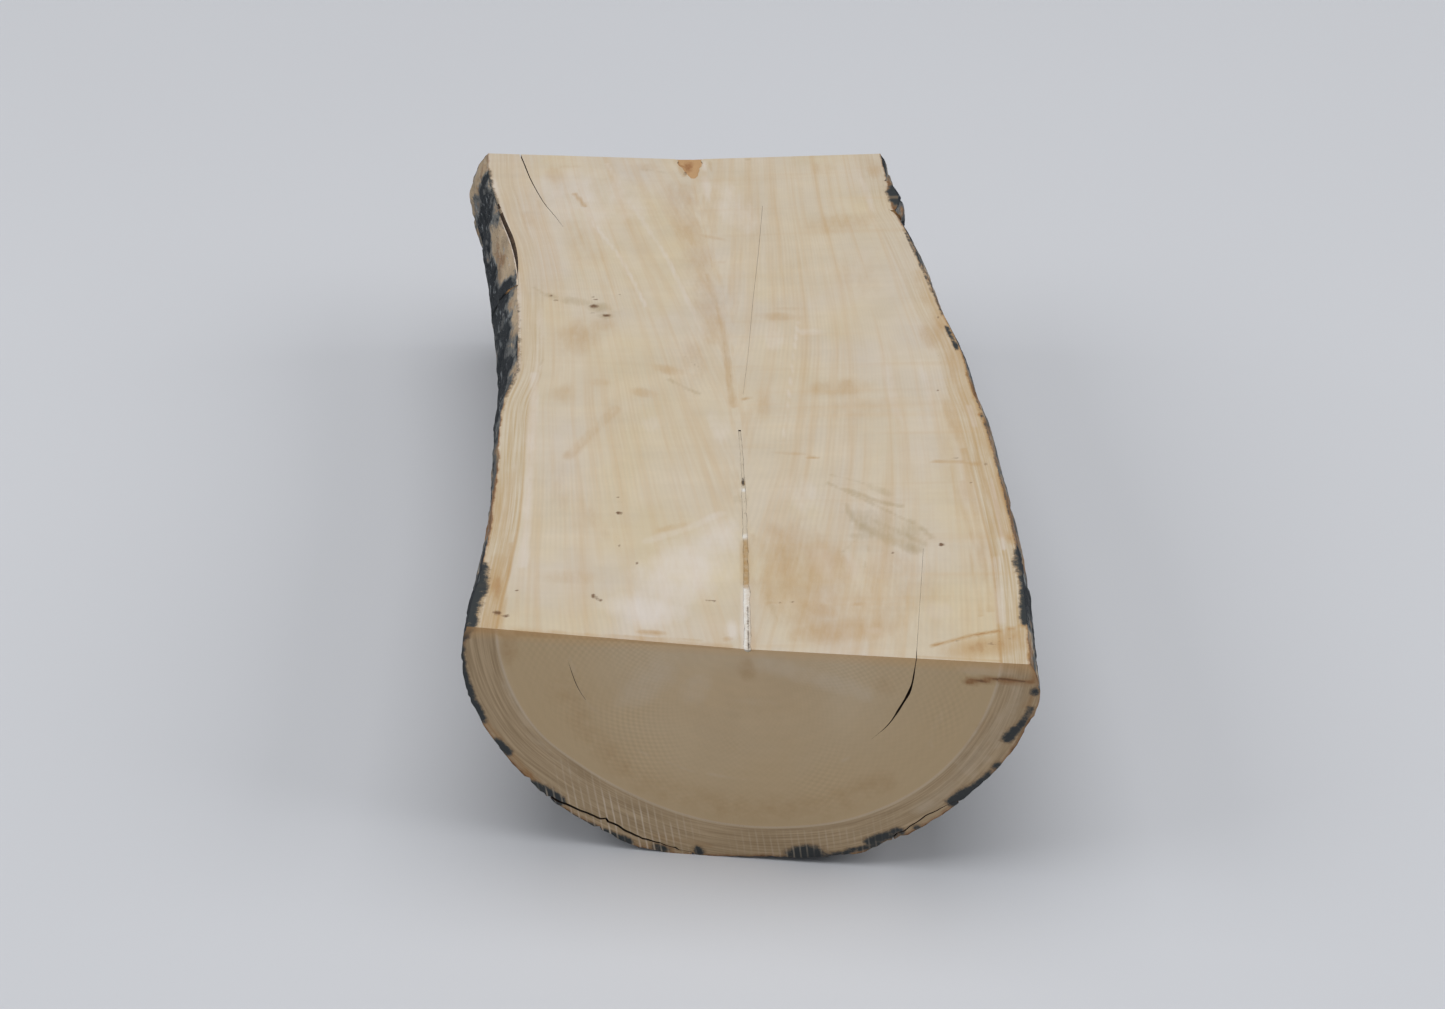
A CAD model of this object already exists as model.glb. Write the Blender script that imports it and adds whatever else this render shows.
"""A half-round length of mammoth tusk, sawn through its nerve and across both ends.

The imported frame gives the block's size and place. Each piece here stands for one node of that frame and
rides the root body. Shapes are worked out in millimetres in the tusk's own grain: an angle round the nerve,
a radius from it and a place along it. They turn into metres in the frame only when a mesh is finished.
"""
import logging
import math
from collections.abc import Callable
from dataclasses import dataclass
from enum import IntEnum

import bmesh
import bpy
import numpy as np
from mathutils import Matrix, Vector, noise


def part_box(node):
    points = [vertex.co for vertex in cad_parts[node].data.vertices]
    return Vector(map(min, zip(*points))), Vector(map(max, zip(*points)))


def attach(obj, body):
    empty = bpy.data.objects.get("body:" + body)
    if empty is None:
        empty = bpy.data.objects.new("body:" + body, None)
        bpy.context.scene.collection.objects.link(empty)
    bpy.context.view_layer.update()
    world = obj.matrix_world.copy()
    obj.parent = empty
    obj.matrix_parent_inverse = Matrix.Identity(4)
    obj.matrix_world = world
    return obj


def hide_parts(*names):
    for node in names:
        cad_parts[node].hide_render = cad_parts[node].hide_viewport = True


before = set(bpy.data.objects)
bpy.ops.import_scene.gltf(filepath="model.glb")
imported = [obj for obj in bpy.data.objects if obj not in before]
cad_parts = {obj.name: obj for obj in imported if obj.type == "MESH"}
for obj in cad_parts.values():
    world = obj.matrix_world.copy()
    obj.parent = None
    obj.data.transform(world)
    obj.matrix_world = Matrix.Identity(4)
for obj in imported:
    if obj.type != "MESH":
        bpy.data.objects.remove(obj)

LOG = logging.getLogger("tusk")
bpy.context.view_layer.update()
MM = 0.001
BODY = "root"
TYPICAL_RADIUS = 60.0

Knots = tuple[tuple[float, float], ...]
Surface = Callable[[np.ndarray, np.ndarray], np.ndarray]
Socket = bpy.types.NodeSocket
Paint = dict[str, Socket]


class Face(IntEnum):
    """Which surface of a piece a face belongs to, as its material index."""

    LENGTHWISE = 0
    CROSSCUT = 1
    BARK = 2
    CRACK = 3


def through(knots: Knots, place: np.ndarray | float) -> np.ndarray:
    """Reads a smooth curve through knots.

    Args:
        knots: (place, value) pairs in rising order of place.
        place: where to read the curve; beyond the ends it keeps the end value.

    Returns:
        The curve's value at each place.
    """
    at, value = np.array(knots, float).T
    last = len(at) - 1
    place = np.asarray(place, float)
    i = np.clip(np.searchsorted(at, place, side="right") - 1, 0, last - 1)
    span = at[i + 1] - at[i]
    f = np.clip((place - at[i]) / span, 0, 1)
    before = np.maximum(i - 1, 0)
    after = np.minimum(i + 2, last)
    leaving = (value[i + 1] - value[before]) / (at[i + 1] - at[before]) * span
    arriving = (value[after] - value[i]) / (at[after] - at[i]) * span
    rise = value[i + 1] - value[i]
    bend = 3 * rise - 2 * leaving - arriving
    return value[i] + f * (leaving + f * (bend + f * (leaving + arriving - 2 * rise)))


def smooth(low: float, high: float, value: np.ndarray | float) -> np.ndarray:
    """Rises smoothly from 0 at low to 1 at high."""
    f = np.clip((np.asarray(value, float) - low) / (high - low), 0, 1)
    return f * f * (3 - 2 * f)


def arch(low: float, high: float, value: np.ndarray) -> np.ndarray:
    """Is 0 outside low..high and rises to 1 halfway between them, as half a sine wave."""
    return np.sin(np.pi * np.clip((value - low) / (high - low), 0, 1))


def linear(code: str) -> tuple[float, float, float, float]:
    """Turns an sRGB hex colour such as "cfc4ae" into linear red, green, blue and an alpha of 1."""
    parts = [int(code[i:i + 2], 16) / 255 for i in (0, 2, 4)]
    return (*[c / 12.92 if c <= 0.04045 else ((c + 0.055) / 1.055) ** 2.4 for c in parts], 1.0)


@dataclass(frozen=True)
class Tusk:
    """The tusk's grain: where its nerve, edges, dentine and bark are, in millimetres.

    Knots are (y, x) along the block, or (angle, radius) round its front end. Angles are in degrees round the
    nerve, from 0 at the left sawn edge, through 90 at the keel, to 180 at the right sawn edge. The slant is
    the front end's run along Y for each millimetre across. The shoulder is the left side's swelling just
    below its edge. The dish is the sawn face's sag, and cone_slope is how fast growth cones lean outwards.
    """

    length: float
    depth: float
    shift: tuple[float, float]
    slant: float = 0.11
    nerve: Knots = ((0, 1.8), (42, 1.5), (72, 0.9), (100, -0.5), (119, -1.6), (137, -3.3), (156, -5.8),
                    (178, -8.4), (212, -12.2))
    left_edge: Knots = ((6, -56.6), (15, -56.1), (26, -55.1), (48, -53.9), (80, -54.4), (92, -54.3),
                        (104, -52.3), (114, -52.1), (128, -52.9), (142, -53.7), (155, -55.2), (166, -57.3),
                        (176, -59.9), (187, -62.1), (196, -64), (212, -65.2))
    right_edge: Knots = ((-6, 59.6), (28, 60.4), (46, 59.5), (66, 58.1), (86, 56.6), (97, 55), (114, 53.4),
                         (134, 49.3), (151, 46.7), (172, 42.8), (182, 40.4), (196, 39.4), (212, 38.5))
    shoulder: Knots = ((0, 1.3), (11, 1.7), (22, 2.8), (40, 2.4), (60, 1.7), (80, 1.9), (95, 2.9),
                       (108, 4.9), (130, 5.5), (146, 6.1), (160, 5.7), (175, 4.5), (190, 3.5), (200, 4.3),
                       (206, 5.3), (212, 4.6))
    skin_round: Knots = ((0, 57.4), (12, 58.7), (26, 59.9), (48, 61.6), (60, 61.5), (67, 61.9), (74, 60.8),
                         (82, 59), (93, 57.9), (103, 58.4), (114, 59.9), (128, 59.3), (148, 59.7),
                         (161, 60.6), (171, 61.4), (176, 60.4), (180, 58.2))
    junction_round: Knots = ((0, 51.2), (30, 51.2), (45, 49.6), (60, 48.9), (80, 49.1), (100, 49.4),
                             (115, 50.2), (135, 50.8), (160, 51.4), (180, 52.2))
    shoulder_angle: float = 14.0
    dish_front: float = 1.0
    dish_rear: float = 2.0
    dish_reach: float = 16.0
    cone_slope: float = 0.19

    def side_y(self, angle: np.ndarray, y: np.ndarray) -> np.ndarray:
        """The true y on the bark at an angle, since the front end is sawn askew."""
        across = -self.skin_round[0][1] * np.cos(np.radians(angle))
        return y - self.slant * across * (1 - y / self.length)

    def growth(self, angle: np.ndarray, y: np.ndarray) -> np.ndarray:
        """How much wider the block is than at its front end, on the side that the angle is on."""
        true_y = self.side_y(angle, y)
        left = through(self.nerve, y) - through(self.left_edge, true_y)
        right = through(self.right_edge, true_y) - through(self.nerve, y)
        wider = np.where(angle < 90, left - self.skin_round[0][1], right - self.skin_round[-1][1])
        return wider * np.cos(np.radians(angle)) ** 2

    def skin(self, angle: np.ndarray, y: np.ndarray) -> np.ndarray:
        """The radius of the bark's outside, before its relief."""
        turn = np.maximum(angle, 0) / self.shoulder_angle
        swell = through(self.shoulder, self.side_y(angle, y)) * turn * np.exp(1 - turn)
        return through(self.skin_round, angle) + self.growth(angle, y) + swell

    def junction(self, angle: np.ndarray, y: np.ndarray) -> np.ndarray:
        """The radius where dentine meets bark."""
        return through(self.junction_round, angle) + self.growth(angle, y)

    def dish(self, x: np.ndarray, y: np.ndarray) -> np.ndarray:
        """How far the sawn face sinks towards the nerve, where two saw cuts met in a shallow valley."""
        off = np.abs(x - through(self.nerve, y))
        half = self.skin_round[0][1]
        fall = self.dish_front + (self.dish_rear - self.dish_front) * np.clip(y / self.length, 0, 1)
        return fall * np.clip(1 - off / half, 0, 1)

    def place(self, angle: np.ndarray, radius: np.ndarray, y: np.ndarray) -> np.ndarray:
        """Finds points in the grain.

        Args:
            angle: degrees round the nerve.
            radius: millimetres from the nerve.
            y: millimetres along the nerve from the front end.

        Returns:
            One row of x, y and z for each point, in the tusk's millimetres.
        """
        turn = np.radians(angle)
        x = through(self.nerve, y) - radius * np.cos(turn)
        deep = radius * np.sin(turn)
        deep = deep + self.dish(x, y) * np.clip(1 - deep / self.dish_reach, 0, 1)
        true_y = y - self.slant * x * (1 - y / self.length)
        return np.stack([x, true_y, np.maximum(self.depth - deep, 0)], axis=-1)

    def grain(self, points: np.ndarray) -> tuple[np.ndarray, np.ndarray, np.ndarray]:
        """Turns points back into their angle, radius and y."""
        x, true_y, z = points.T
        y = (true_y + self.slant * x) / (1 + self.slant * x / self.length)
        off = x - through(self.nerve, y)
        deep = np.maximum(self.depth - z, 0)
        return np.degrees(np.arctan2(deep, -off)), np.hypot(off, deep), y

    def to_frame(self, points: np.ndarray) -> np.ndarray:
        """Turns the tusk's millimetres into the frame's metres."""
        return (points + np.array([*self.shift, 0.0])) * MM


def tusk_from_frame() -> Tusk:
    """Reads the block's length, depth and place from the frame's own nodes."""
    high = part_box("dentine_core")[1]
    mouth_low, mouth_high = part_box("canal_mouth_plug")
    rear_end, nerve_at_rear = Tusk.nerve[-1]
    shift = ((mouth_low.x + mouth_high.x) / 2 / MM - nerve_at_rear, high.y / MM - rear_end)
    return Tusk(length=float(rear_end), depth=high.z / MM, shift=shift)


# ---------------------------------------------------------------------------------------------- bark relief


@dataclass(frozen=True)
class Relief:
    """The bark's weathered surface: how far it stands in or out of the plain skin, in millimetres."""

    swell: float = 0.55
    ridge: float = 0.5
    flake: float = 0.7
    groove: float = 1.3
    grit: float = 0.22
    sunk: float = 0.15

    def at(self, around: float, y: float) -> float:
        """The relief at one place.

        Args:
            around: millimetres round the bark.
            y: millimetres along it.

        Returns:
            Millimetres, mostly negative, so that the bark seldom stands proud of the skin.
        """
        # Each divisor is a feature's size in millimetres, round and along; the last number picks its pattern.
        broad = noise.noise(Vector((around / 19, y / 34, 1.7)))
        ribs = noise.noise(Vector((around / 4.2, y / 38, 5.1)))
        crack = abs(noise.noise(Vector((around / 8.5, y / 52, 9.3))))
        split = abs(noise.noise(Vector((around / 17, y / 9, 12.9))))
        warp = 2.5 * noise.noise(Vector((around / 6, y / 14, 3.3)))
        scale = noise.cell(Vector(((around + warp) / 6.5, (y + 3 * warp) / 17, 2.2)))
        fine = noise.fractal(Vector((around / 1.6, y / 3.6, 7.7)), 0.8, 2.1, 3)
        cut = max(0.0, 1 - crack / 0.055)
        chip = max(0.0, 1 - split / 0.03) * 0.5
        swollen = self.swell * broad + self.ridge * ribs - self.flake * scale * scale
        return swollen - self.groove * max(cut, chip) + self.grit * fine - self.sunk

    def over(self, around: np.ndarray, y: np.ndarray) -> np.ndarray:
        """The relief at many places."""
        return np.array([self.at(a, b) for a, b in zip(around.tolist(), y.tolist())])


# -------------------------------------------------------------------------------------------- mesh building


def grid_block(around: int, along: int, deep: int) -> bmesh.types.BMesh:
    """Makes a unit cube, cut into a grid.

    Args:
        around: faces along X, which becomes the angle.
        along: faces along Y, which becomes the way along the tusk.
        deep: faces along Z, which becomes the radius.

    Returns:
        The cube, centred on the origin.
    """
    bm = bmesh.new()
    bmesh.ops.create_cube(bm, size=1.0)
    for axis, count in enumerate((around, along, deep)):
        edges = [e for e in bm.edges if abs(e.verts[0].co[axis] - e.verts[1].co[axis]) > 0.5]
        if count > 1:
            bmesh.ops.subdivide_edges(bm, edges=edges, cuts=count - 1, use_grid_fill=True)
    return bm


def mesh_points(mesh: bpy.types.Mesh) -> np.ndarray:
    """Reads a mesh's vertices, one row each."""
    flat = np.empty(len(mesh.vertices) * 3)
    mesh.vertices.foreach_get("co", flat)
    return flat.reshape(-1, 3)


def move_points(mesh: bpy.types.Mesh, points: np.ndarray) -> None:
    """Puts a mesh's vertices at new places."""
    mesh.vertices.foreach_set("co", points.astype(np.float32).ravel())
    mesh.update()


def mesh_from(bm: bmesh.types.BMesh, name: str) -> bpy.types.Mesh:
    """Turns a bmesh into a mesh and frees it."""
    mesh = bpy.data.meshes.new(name)
    bm.to_mesh(mesh)
    bm.free()
    return mesh


def put_in_scene(mesh: bpy.types.Mesh) -> bpy.types.Object:
    """Makes an object of a mesh, under the mesh's own name."""
    piece = bpy.data.objects.new(mesh.name, mesh)
    bpy.context.scene.collection.objects.link(piece)
    return piece


def carve(piece: bpy.types.Object, cutters: list[bpy.types.Mesh]) -> None:
    """Cuts meshes out of a piece and applies the result.

    Args:
        piece: the object to cut.
        cutters: closed meshes that don't touch each other; they are used up.
    """
    bm = bmesh.new()
    for cutter in cutters:
        bm.from_mesh(cutter)
    tool = put_in_scene(mesh_from(bm, "cutter"))
    for cutter in cutters:
        bpy.data.meshes.remove(cutter)
    cut = piece.modifiers.new("cracks", "BOOLEAN")
    cut.operation = "DIFFERENCE"
    cut.solver = "EXACT"
    cut.object = tool
    shaped = bpy.data.meshes.new_from_object(piece.evaluated_get(bpy.context.evaluated_depsgraph_get()))
    piece.modifiers.clear()
    piece.data = shaped
    bpy.data.objects.remove(tool)


@dataclass(frozen=True)
class Outline:
    """How a loose piece of bark grows shorter away from its widest line, with a wavering edge.

    It shrinks towards the anchor, a place along the tusk, from its whole length at the widest angle to the
    least share of it at the reach, in degrees, from there.
    """

    anchor: float
    widest: float
    reach: float
    least: float

    def share(self, angle: np.ndarray) -> np.ndarray:
        """The share of the piece's length that is left at an angle."""
        away = np.abs(angle - self.widest) / self.reach
        waver = 0.03 * np.sin(angle * 1.3 + self.anchor) + 0.02 * np.sin(angle * 3.1)
        return 1 - (1 - self.least) * np.clip(away, 0, 1.1) ** 2 + waver * np.clip(away * 3, 0, 1)

    def narrowed(self, angle: np.ndarray, y: np.ndarray) -> np.ndarray:
        """Where a place along a plain rectangle ends up in the outline."""
        return self.anchor + (y - self.anchor) * self.share(angle)

    def plain(self, angle: np.ndarray, y: np.ndarray) -> np.ndarray:
        """Where a place in the outline was along the plain rectangle."""
        return self.anchor + (y - self.anchor) / self.share(angle)


@dataclass
class Bent:
    """A block bent into the tusk, between two angles, two walls and two places along it.

    Its spacing is the size of its faces in millimetres round the tusk, along it and through the wall.
    """

    tusk: Tusk
    angles: tuple[float, float]
    stations: tuple[float, float]
    spacing: tuple[float, float, float] = (0.95, 1.15, 0.8)
    outline: Outline | None = None

    def build(self, name: str, inner: Surface, outer: Surface) -> bpy.types.Mesh:
        """Makes the block.

        Args:
            name: the mesh's name.
            inner: gives the inner wall's radius from angle and y.
            outer: gives the outer wall's radius from angle and y.

        Returns:
            The mesh in the tusk's millimetres, its faces marked by Face.
        """
        girth = TYPICAL_RADIUS * math.radians(self.angles[1] - self.angles[0])
        reach = self.stations[1] - self.stations[0]
        middle = np.array([sum(self.angles) / 2]), np.array([sum(self.stations) / 2])
        wall = abs(float((outer(*middle) - inner(*middle))[0]))
        counts = [max(round(size / step), 1) for size, step in zip((girth, reach, wall), self.spacing)]
        bm = grid_block(*counts)
        for face in bm.faces:
            face.material_index = self.kind_of(face.calc_center_median())
            face.smooth = face.material_index == Face.BARK
        mesh = mesh_from(bm, name)
        unit = mesh_points(mesh) + 0.5
        angle = self.angles[1] + (self.angles[0] - self.angles[1]) * unit[:, 0]
        y = self.stations[0] + reach * unit[:, 1]
        if self.outline:
            y = self.outline.narrowed(angle, y)
        near, far = inner(angle, y), outer(angle, y)
        move_points(mesh, self.tusk.place(angle, near + (far - near) * unit[:, 2], y))
        return mesh

    def kind_of(self, centre: Vector) -> Face:
        """Which surface a face of the unit cube becomes."""
        edge = 0.4999
        if centre.z > edge:
            return Face.BARK
        if centre.y < -edge or centre.y > edge:
            return Face.CROSSCUT
        if centre.x > edge and self.angles[0] <= 0 or centre.x < -edge and self.angles[1] >= 180:
            return Face.LENGTHWISE
        return Face.CRACK


# ---------------------------------------------------------------------------------- stains, marks and grain


@dataclass(frozen=True)
class Spot:
    """A soft oval mark in some plane, in that plane's units, longer along its own direction."""

    x: float
    y: float
    length: float
    width: float
    turn: float = 0.0
    strength: float = 1.0

    def weight(self, x: np.ndarray, y: np.ndarray) -> np.ndarray:
        """Falls from the strength in the middle to 0 at the mark's outline."""
        c, s = math.cos(math.radians(self.turn)), math.sin(math.radians(self.turn))
        along = (x - self.x) * c + (y - self.y) * s
        off = -(x - self.x) * s + (y - self.y) * c
        return self.strength * smooth(0, 0.8, 1 - np.hypot(along / self.length * 2, off / self.width * 2))


@dataclass(frozen=True)
class Streak:
    """A soft line through some points of a plane, with one width and strength."""

    path: tuple[tuple[float, float], ...]
    width: float
    strength: float = 1.0

    def weight(self, x: np.ndarray, y: np.ndarray) -> np.ndarray:
        """Falls from the strength on the line to 0 at half the width from it."""
        best = np.full(np.shape(x), np.inf)
        for (x0, y0), (x1, y1) in zip(self.path, self.path[1:]):
            run, rise = x1 - x0, y1 - y0
            f = np.clip(((x - x0) * run + (y - y0) * rise) / (run * run + rise * rise), 0, 1)
            best = np.minimum(best, np.hypot(x - x0 - f * run, y - y0 - f * rise))
        return self.strength * smooth(0, 0.8, 1 - best / self.width * 2)


Marks = tuple[Spot | Streak, ...]


def weigh(marks: Marks, x: np.ndarray, y: np.ndarray) -> np.ndarray:
    """The strongest of some marks at each place."""
    return np.max([mark.weight(x, y) for mark in marks], axis=0)


@dataclass(frozen=True)
class Coats:
    """Where each stain lies on one plane of the block, in millimetres.

    Vivianite is blue-black, iron orange-brown, dirt grey-brown, speck a small dark mark and pale a bleached
    or chalky place.
    """

    vivianite: Marks
    iron: Marks
    dirt: Marks
    speck: Marks
    pale: Marks


# On the sawn face the plane is x by y, seen from above.
SAWN_FACE = Coats(
    vivianite=(
        Streak(((-56.8, 6), (-56, 14), (-55.2, 22), (-55.4, 27)), 6.4, 1.3),
        Spot(-54.6, 20, 14, 5, 92, 1.2), Streak(((-55.2, 27), (-54.8, 40)), 1.7),
        Streak(((-54.4, 52), (-54.6, 62)), 1.6), Streak(((-54.6, 62), (-54.9, 80), (-54.6, 92)), 1.2, 0.8),
        Spot(-53.6, 112.4, 4, 1.6, 110), Streak(((-54.6, 96), (-53.2, 103)), 1.3, 0.8),
        Streak(((60, 8), (60.8, 20), (60.6, 34)), 4.2, 1.2), Spot(59.8, 28, 14, 3.6, 91),
        Streak(((50.2, 125), (52.2, 115)), 1.7), Streak(((60.2, 36), (57.8, 72)), 1.0, 0.8),
        Streak(((57.4, 74), (53.6, 112)), 1.0, 0.8),
        Streak(((49.8, 130), (46.6, 150), (42.6, 172)), 1.0, 0.9), Spot(41.4, 190, 19, 6.4, 94, 1.7),
        Streak(((39.4, 200), (38.6, 211)), 1.2, 0.8),
    ),
    iron=(
        Streak(((-51.5, 0), (-51.8, 30)), 7, 0.45), Streak(((-51.4, 30), (-51.2, 62)), 6, 0.22),
        Streak(((-49.3, 2), (-49, 36)), 1.3, 0.5), Spot(26, 16, 70, 56, 0, 0.26),
        Spot(50, 60, 80, 12, 94, 0.2), Spot(-51.2, 20, 22, 6, 92, 0.95),
        Streak(((-54.6, 40), (-54.6, 52)), 2.0, 0.9), Spot(-39, 55, 44, 8, 98, 0.2),
        Spot(-31, 45, 26, 6, 112, 0.25), Spot(-36, 24, 22, 9, 0, 0.25), Spot(-38, 121, 14, 24, 0, 0.5),
        Spot(-33, 127, 12, 10, 30, 0.3), Spot(-32, 101, 8, 6, 0, 0.36), Spot(-22, 97, 11, 6, -20, 0.36),
        Streak(((-28, 90), (-34, 78), (-38, 70)), 5, 0.3), Spot(-40, 96, 14, 10, 90, 0.25),
        Spot(-16, 107, 14, 6, -20, 0.4), Spot(-14, 43, 13, 4, 24, 0.34), Spot(-18, 5, 9, 2.6, -5, 0.8),
        Spot(-2.5, 3.2, 3, 2.4, 0, 0.7), Streak(((-46, 5), (-8, 2.6)), 1.2, 0.5),
        Streak(((1.6, 22), (1.6, 38)), 2.8, 0.8), Streak(((2.4, 0), (2.6, 40)), 3.4, 0.4),
        Spot(1.2, 60.6, 1.6, 3.4, 0, 0.9), Streak(((2.6, 95.4), (1.4, 95)), 1.8, 0.9),
        Spot(-1.2, 93.2, 1.8, 2.2, 0, 0.8),
        Streak(((-0.8, 92), (-2, 108), (-3.4, 124), (-5, 138), (-7.4, 152)), 2.6, 0.75),
        Streak(((-5, 122), (-8, 146), (-11, 166), (-13, 182), (-15, 196)), 12, 0.36),
        Spot(-10, 112, 34, 9, 94, 0.3), Spot(-7, 171, 16, 2.6, -25, 0.4), Spot(-4, 158, 5, 3, 0, 0.3),
        Spot(13, 25, 60, 26, 94, 0.62), Spot(22, 6, 36, 14, 6, 0.66), Spot(9, 40, 18, 6, 110, 0.5),
        Spot(16, 14, 20, 9, 140, 0.75), Spot(21, 28, 26, 9, 100, 0.5), Spot(25, 14.8, 4, 2.2, 0, 0.7),
        Streak(((6, 15.6), (14, 15.6)), 1.4, 0.55), Spot(34, 26, 40, 12, 96, 0.26),
        Streak(((52.6, 12), (52.4, 40), (51, 72)), 2.6, 0.55), Streak(((50.4, 10), (50.2, 60)), 1.2, 0.45),
        Streak(((55.6, 24), (55.4, 56)), 1.0, 0.4), Spot(49.4, 84, 30, 5, 97, 0.5),
        Streak(((59.8, 36), (58.2, 60), (56.6, 80), (54.6, 100), (52.8, 114), (49.4, 132)), 2.6, 0.8),
        Streak(((56.8, 40), (55, 70), (52.4, 96), (49, 124), (44.6, 150)), 6, 0.4),
        Spot(55.6, 86, 2.4, 2.4, 0, 1.4), Spot(54.6, 93, 2.6, 2, 0, 1.4),
        Streak(((44, 67.6), (50, 67.4), (56, 65.4)), 1.6, 0.7), Spot(58.8, 38, 8, 3, 95, 0.9),
        Spot(49, 126, 12, 3, 104, 0.8), Spot(46, 120, 20, 6, 98, 0.4), Spot(24, 99, 24, 12, 4, 0.36),
        Spot(10, 131.5, 18, 6, -6, 0.42), Spot(14, 135, 16, 3, -4, 0.3),
        Spot(16.8, 70.2, 4.4, 1.3, -6, 1.0), Spot(12, 72, 14, 2, -8, 0.4), Spot(28, 90, 40, 18, 8, 0.2),
        Spot(6, 94, 26, 8, 92, 0.25), Spot(27, 176, 30, 18, 10, 0.3), Spot(30, 150, 36, 16, 96, 0.2),
        Spot(36, 204, 18, 6, 96, 0.5), Spot(22, 205, 12, 10, 0, 0.25), Spot(-47, 201, 18, 8, 104, 0.3),
        Spot(-24, 207, 14, 8, 0, 0.25), Streak(((-41.6, 191.4), (-40, 188), (-38.8, 185)), 1.9, 0.9),
        Spot(-40, 168, 26, 10, 100, 0.2), Spot(-53, 178, 14, 6, 110, 0.25),
        Spot(-36, 158, 20, 16, 0, 0.16), Streak(((-15.6, 211), (-13.4, 203)), 2.4, 0.7),
        Spot(-12.4, 208, 4, 10, 0, 0.9), Spot(-6.6, 208, 9, 1.8, 92, 0.8), Spot(-44, 206, 16, 3, 8, 0.2),
        Streak(((40, 0.2), (48, 3.4), (56, 5.4), (60, 7)), 1.5, 1.0), Spot(51, -0.6, 26, 10, 8, 0.85),
        Spot(56, 2.6, 10, 8, 30, 0.8), Streak(((59.8, 6), (60.6, 2), (59.4, -4)), 1.6, 0.9),
        Streak(((36.6, -3.4), (59, -6)), 1.0, 0.5),
    ),
    dirt=(
        Streak(((20, 60), (28, 53), (38, 44)), 1.6, 0.8),
        Streak(((24, 57.4), (31, 52.4), (35.6, 50.4)), 2.4, 0.9),
        Streak(((23.4, 52), (25, 46), (27, 42)), 1.8, 0.8),
        Streak(((27, 43), (33, 38), (38.4, 34)), 5.5, 0.9), Streak(((30, 45), (36, 40), (40, 36)), 3, 0.9),
        Streak(((40, 42), (42, 38.4)), 2.0, 0.9), Spot(33, 42, 26, 16, -40, 0.62),
        Spot(27, 39.4, 9, 4, 0, 0.6), Streak(((21, 63), (28, 59.6)), 1.4, 0.5),
        Spot(31, 57, 12, 4, -40, 0.5), Spot(0.8, 54.4, 6, 6, 0, 0.6), Spot(-33.4, 134.6, 10, 7, 0, 1.1),
        Spot(-31.6, 131, 7, 4, 0, 1.0), Spot(-38, 137, 18, 6, -16, 0.6),
        Spot(-45, 139.4, 6, 3.4, -40, 0.8), Streak(((-50, 144), (-44, 137)), 1.4, 0.6),
        Spot(-29, 133, 8, 3, 20, 0.5), Streak(((-46.4, 108), (-45.4, 112.4)), 0.9, 0.6),
        Spot(-21, 205, 12, 2.4, -14, 0.5), Streak(((-16, 103), (-9, 97)), 1.6, 0.5),
        Spot(3, 211, 3, 1.6, 0, 0.7), Streak(((22, 33), (27, 40)), 1.0, 0.4),
        Spot(8, 12, 20, 3, 110, 0.25), Streak(((27, 28), (28.4, 38)), 0.9, 0.5),
    ),
    speck=(
        Spot(-45.3, 139.8, 2.2, 1.8), Spot(-43.9, 137.8, 1.8, 1.6), Spot(-34.6, 135.4, 4.6, 3.8),
        Spot(-31.5, 131.2, 4.0, 2.6), Spot(-34.4, 138.6, 1.8, 1.5), Spot(-34.8, 132.2, 1.6, 1.4),
        Spot(-28.8, 141, 1.8, 1.2), Spot(-35.2, 139.6, 1.6, 1.2), Spot(-26.6, 54, 2.0, 1.8),
        Spot(-26, 52.4, 1.4, 1.6), Spot(-26.1, 48, 2.4, 2.6), Spot(-26.1, 39, 1.4, 1.8),
        Spot(-25.8, 35.8, 1.4, 1.8), Spot(-26, 37, 1.2, 1.4), Spot(-30.4, 17.2, 4.0, 2.2, 120),
        Spot(-29.2, 16, 3.0, 1.8, 150), Spot(-50.6, 11, 4.2, 3.0, 150), Spot(-48.6, 10, 3.0, 2.2),
        Spot(-46.8, 19, 1.3, 1.0), Spot(-44.6, 9, 1.4, 1.0), Spot(-6.4, 16.4, 2.2, 1.4),
        Spot(-8, 17, 1.6, 1.3), Spot(-5, 16.2, 1.6, 1.4), Spot(9, 15.8, 2.0, 1.4),
        Spot(11, 15.8, 1.8, 1.4), Spot(33.2, 33.1, 1.7, 1.5), Spot(43.9, 35.7, 2.2, 2.2, 0, 1.3),
        Spot(46.7, 97, 1.6, 1.7), Spot(46.8, 92.2, 1.2, 1.2), Spot(49, 68.8, 2.0, 1.1, -10),
        Spot(55.6, 66.6, 2.2, 2.0), Spot(51.8, 59, 1.3, 1.3), Spot(20, 104, 2.4, 0.9),
        Spot(48.6, 129.4, 1.4, 1.2), Spot(-21.8, 29.4, 0.8, 2.0), Spot(-33.4, 22.2, 1.0, 1.0),
        Spot(53.8, 73, 1.2, 1.0), Streak(((1.2, 66), (0.8, 80), (0.4, 90)), 1.0, 0.3),
        Streak(((1.2, 59.6), (1.15, 63)), 1.1, 0.9), Streak(((2.0, -2), (1.9, 15)), 0.8, 0.7),
        Streak(((1.7, 42), (1.4, 56)), 0.8, 0.4), Spot(-13.2, 204, 2, 5, 0, 1.0),
        Streak(((-12.6, 113.4), (-8.4, 107.6)), 0.8, 0.65), Streak(((-10, 104), (-6, 99)), 0.7, 0.5),
        Spot(-2, 152, 0.8, 3.0, 0, 0.6), Streak(((-3.4, 120), (-2.2, 110), (-0.8, 98)), 1.0, 0.5),
        Streak(((44, 1.4), (50, 3.2), (57, 2.4), (51, 0.6), (58, -1.4)), 0.8, 0.62),
    ),
    pale=(
        Streak(((-37.1, 178), (-29.5, 161), (-24.6, 145), (-22, 136)), 1.5, 0.6),
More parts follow.
